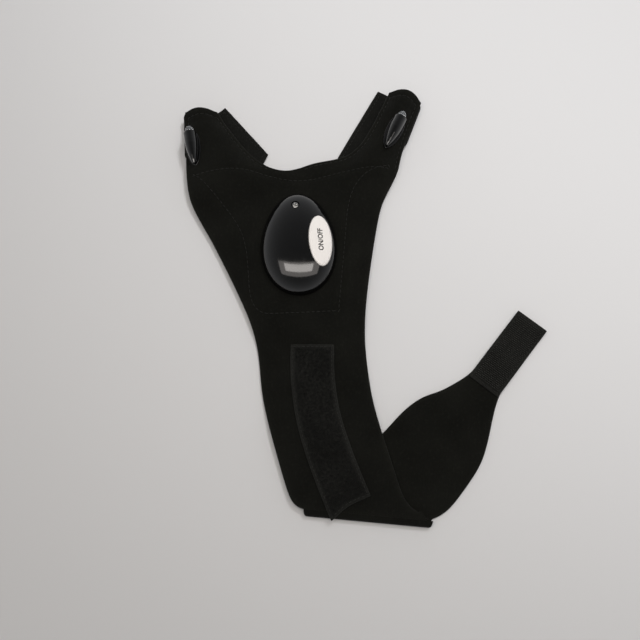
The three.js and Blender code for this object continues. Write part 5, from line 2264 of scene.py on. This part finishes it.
@dataclass
class Studio:
    """Pale floor, two softboxes overhead, a broad pool of light from one side, and the camera."""

    eye: tuple = (0.012943, -0.179754, 0.461406)
    target: tuple = (0.012943, -0.047448, 0.0)
    lens: float = 45.0
    sensor: float = 36.0

    @staticmethod
    def aimed(data: bpy.types.ID, place: tuple, aim: tuple) -> Piece:
        """Put a camera or a light at a place, looking at a point.

        Args:
            data: the camera or light.
            place: where it stands.
            aim: what it looks at.

        Returns:
            The placed object.
        """
        made = linked(data.name, data)
        made.location = place
        look = Vector(aim) - Vector(place)
        made.rotation_euler = look.to_track_quat("-Z", "Y").to_euler()
        return made

    def camera(self) -> None:
        """Put the camera over the glove, tilted towards the fingers."""
        data = bpy.data.cameras.new("camera")
        data.sensor_width, data.lens = self.sensor, self.lens
        data.clip_start, data.clip_end = 0.01, 20
        bpy.context.scene.camera = self.aimed(data, self.eye, self.target)

    def floor(self) -> None:
        """A wide flat sheet of pale paper."""
        reach, low = 30.0, -0.0002
        corners = [(-reach, -reach, low), (reach, -reach, low), (reach, reach, low), (-reach, reach, low)]
        new_object("backdrop_floor", corners, [(0, 1, 2, 3)], PAPER)

    def hang(self, data: bpy.types.Light, place: tuple, aim: tuple, tint: str, power: float) -> None:
        """Hang a light at a place, aimed at a point. Only a softbox shows in gloss.

        Args:
            data: the light.
            place: where it hangs.
            aim: what it lights.
            tint: its colour as "#rrggbb".
            power: its power in watts.
        """
        data.energy = power
        data.color = linear(tint)[:3]
        self.aimed(data, place, aim).visible_glossy = data.type == "AREA"

    def softbox(self, name: str, place: tuple, aim: tuple, size: tuple, tint: str, power: float) -> None:
        """A rectangular soft light.

        Args:
            name: its name.
            place: where it hangs.
            aim: what it lights.
            size: its width and depth.
            tint: its colour as "#rrggbb".
            power: its power in watts.
        """
        data = bpy.data.lights.new(name, "AREA")
        data.shape, data.size, data.size_y = "RECTANGLE", size[0], size[1]
        self.hang(data, place, aim, tint, power)

    def pool(self, name: str, place: tuple, aim: tuple, angle: float, tint: str, power: float) -> None:
        """A broad round pool of light with a soft edge.

        Args:
            name: its name.
            place: where it hangs.
            aim: what it lights.
            angle: its spread in degrees.
            tint: its colour as "#rrggbb".
            power: its power in watts.
        """
        data = bpy.data.lights.new(name, "SPOT")
        data.spot_size, data.spot_blend, data.shadow_soft_size = math.radians(angle), 0.3, 0.2
        self.hang(data, place, aim, tint, power)

    def room(self) -> None:
        """A room that is bright round its walls and dim overhead."""
        world = bpy.data.worlds.new("room")
        bpy.context.scene.world = world
        world.use_nodes = True
        tree = world.node_tree
        way = add(tree, "ShaderNodeTexCoord").outputs["Generated"]
        up = add(tree, "ShaderNodeSeparateXYZ", {0: way}).outputs["Z"]
        level = add(tree, "ShaderNodeMapRange", {"Value": up, "To Min": 0.62, "To Max": 0.1}).outputs[0]
        back = tree.nodes["Background"]
        back.inputs["Color"].default_value = linear("#f7f8fa")
        tree.links.new(level, back.inputs["Strength"])

    def build(self) -> None:
        """Set up everything that isn't the glove."""
        bpy.context.scene.view_settings.view_transform = "Standard"
        self.room()
        self.camera()
        self.floor()
        over = (0.0, -0.02, 0.0)
        self.softbox("overhead softbox", (0.0, -0.13, 0.80), over, (1.1, 0.32), "#fff8f2", 1.6)
        self.softbox("inner softbox", (-0.02, -0.08, 0.78), (-0.02, -0.02, 0.0), (0.62, 0.15), "#fffaf5", 1.2)
        self.pool("side pool", (0.60, 0.75, 1.5), (0.60, 0.75, 0.0), 76, "#fbfcff", 68.0)


def main() -> None:
    """Build the studio and the glove, piece by piece."""
    logging.basicConfig(level=logging.INFO, format="%(name)s %(message)s")
    Studio().build()
    stitches = stitch_repeat()
    panel = HandPanel()
    panel.build(stitches)
    thumb_edge = {(-48.9, 93.5): (0.3, 1.2), (-21.8, 58.4): (1.4, 3.2), (-24.8, 53.4): (1.0, 0.4)}
    index_edge = {(52.8, 107.2): (-2.0, -0.4), (27.4, 59.7): (-2.8, -0.4), (30.4, 54.7): (-1.5, 0.0)}
    SleeveBand("thumb_band", "thumb_sleeve_band", thumb_edge).build(stitches)
    SleeveBand("index_band", "index_sleeve_band", index_edge, area=0.00145).build(stitches)
    WristStrap().build(stitches, panel)
    Pod().build()
    for finger in ("thumb", "index"):
        Light(finger).build()
    InnerParts().dress()


if __name__ == "__main__":
    main()
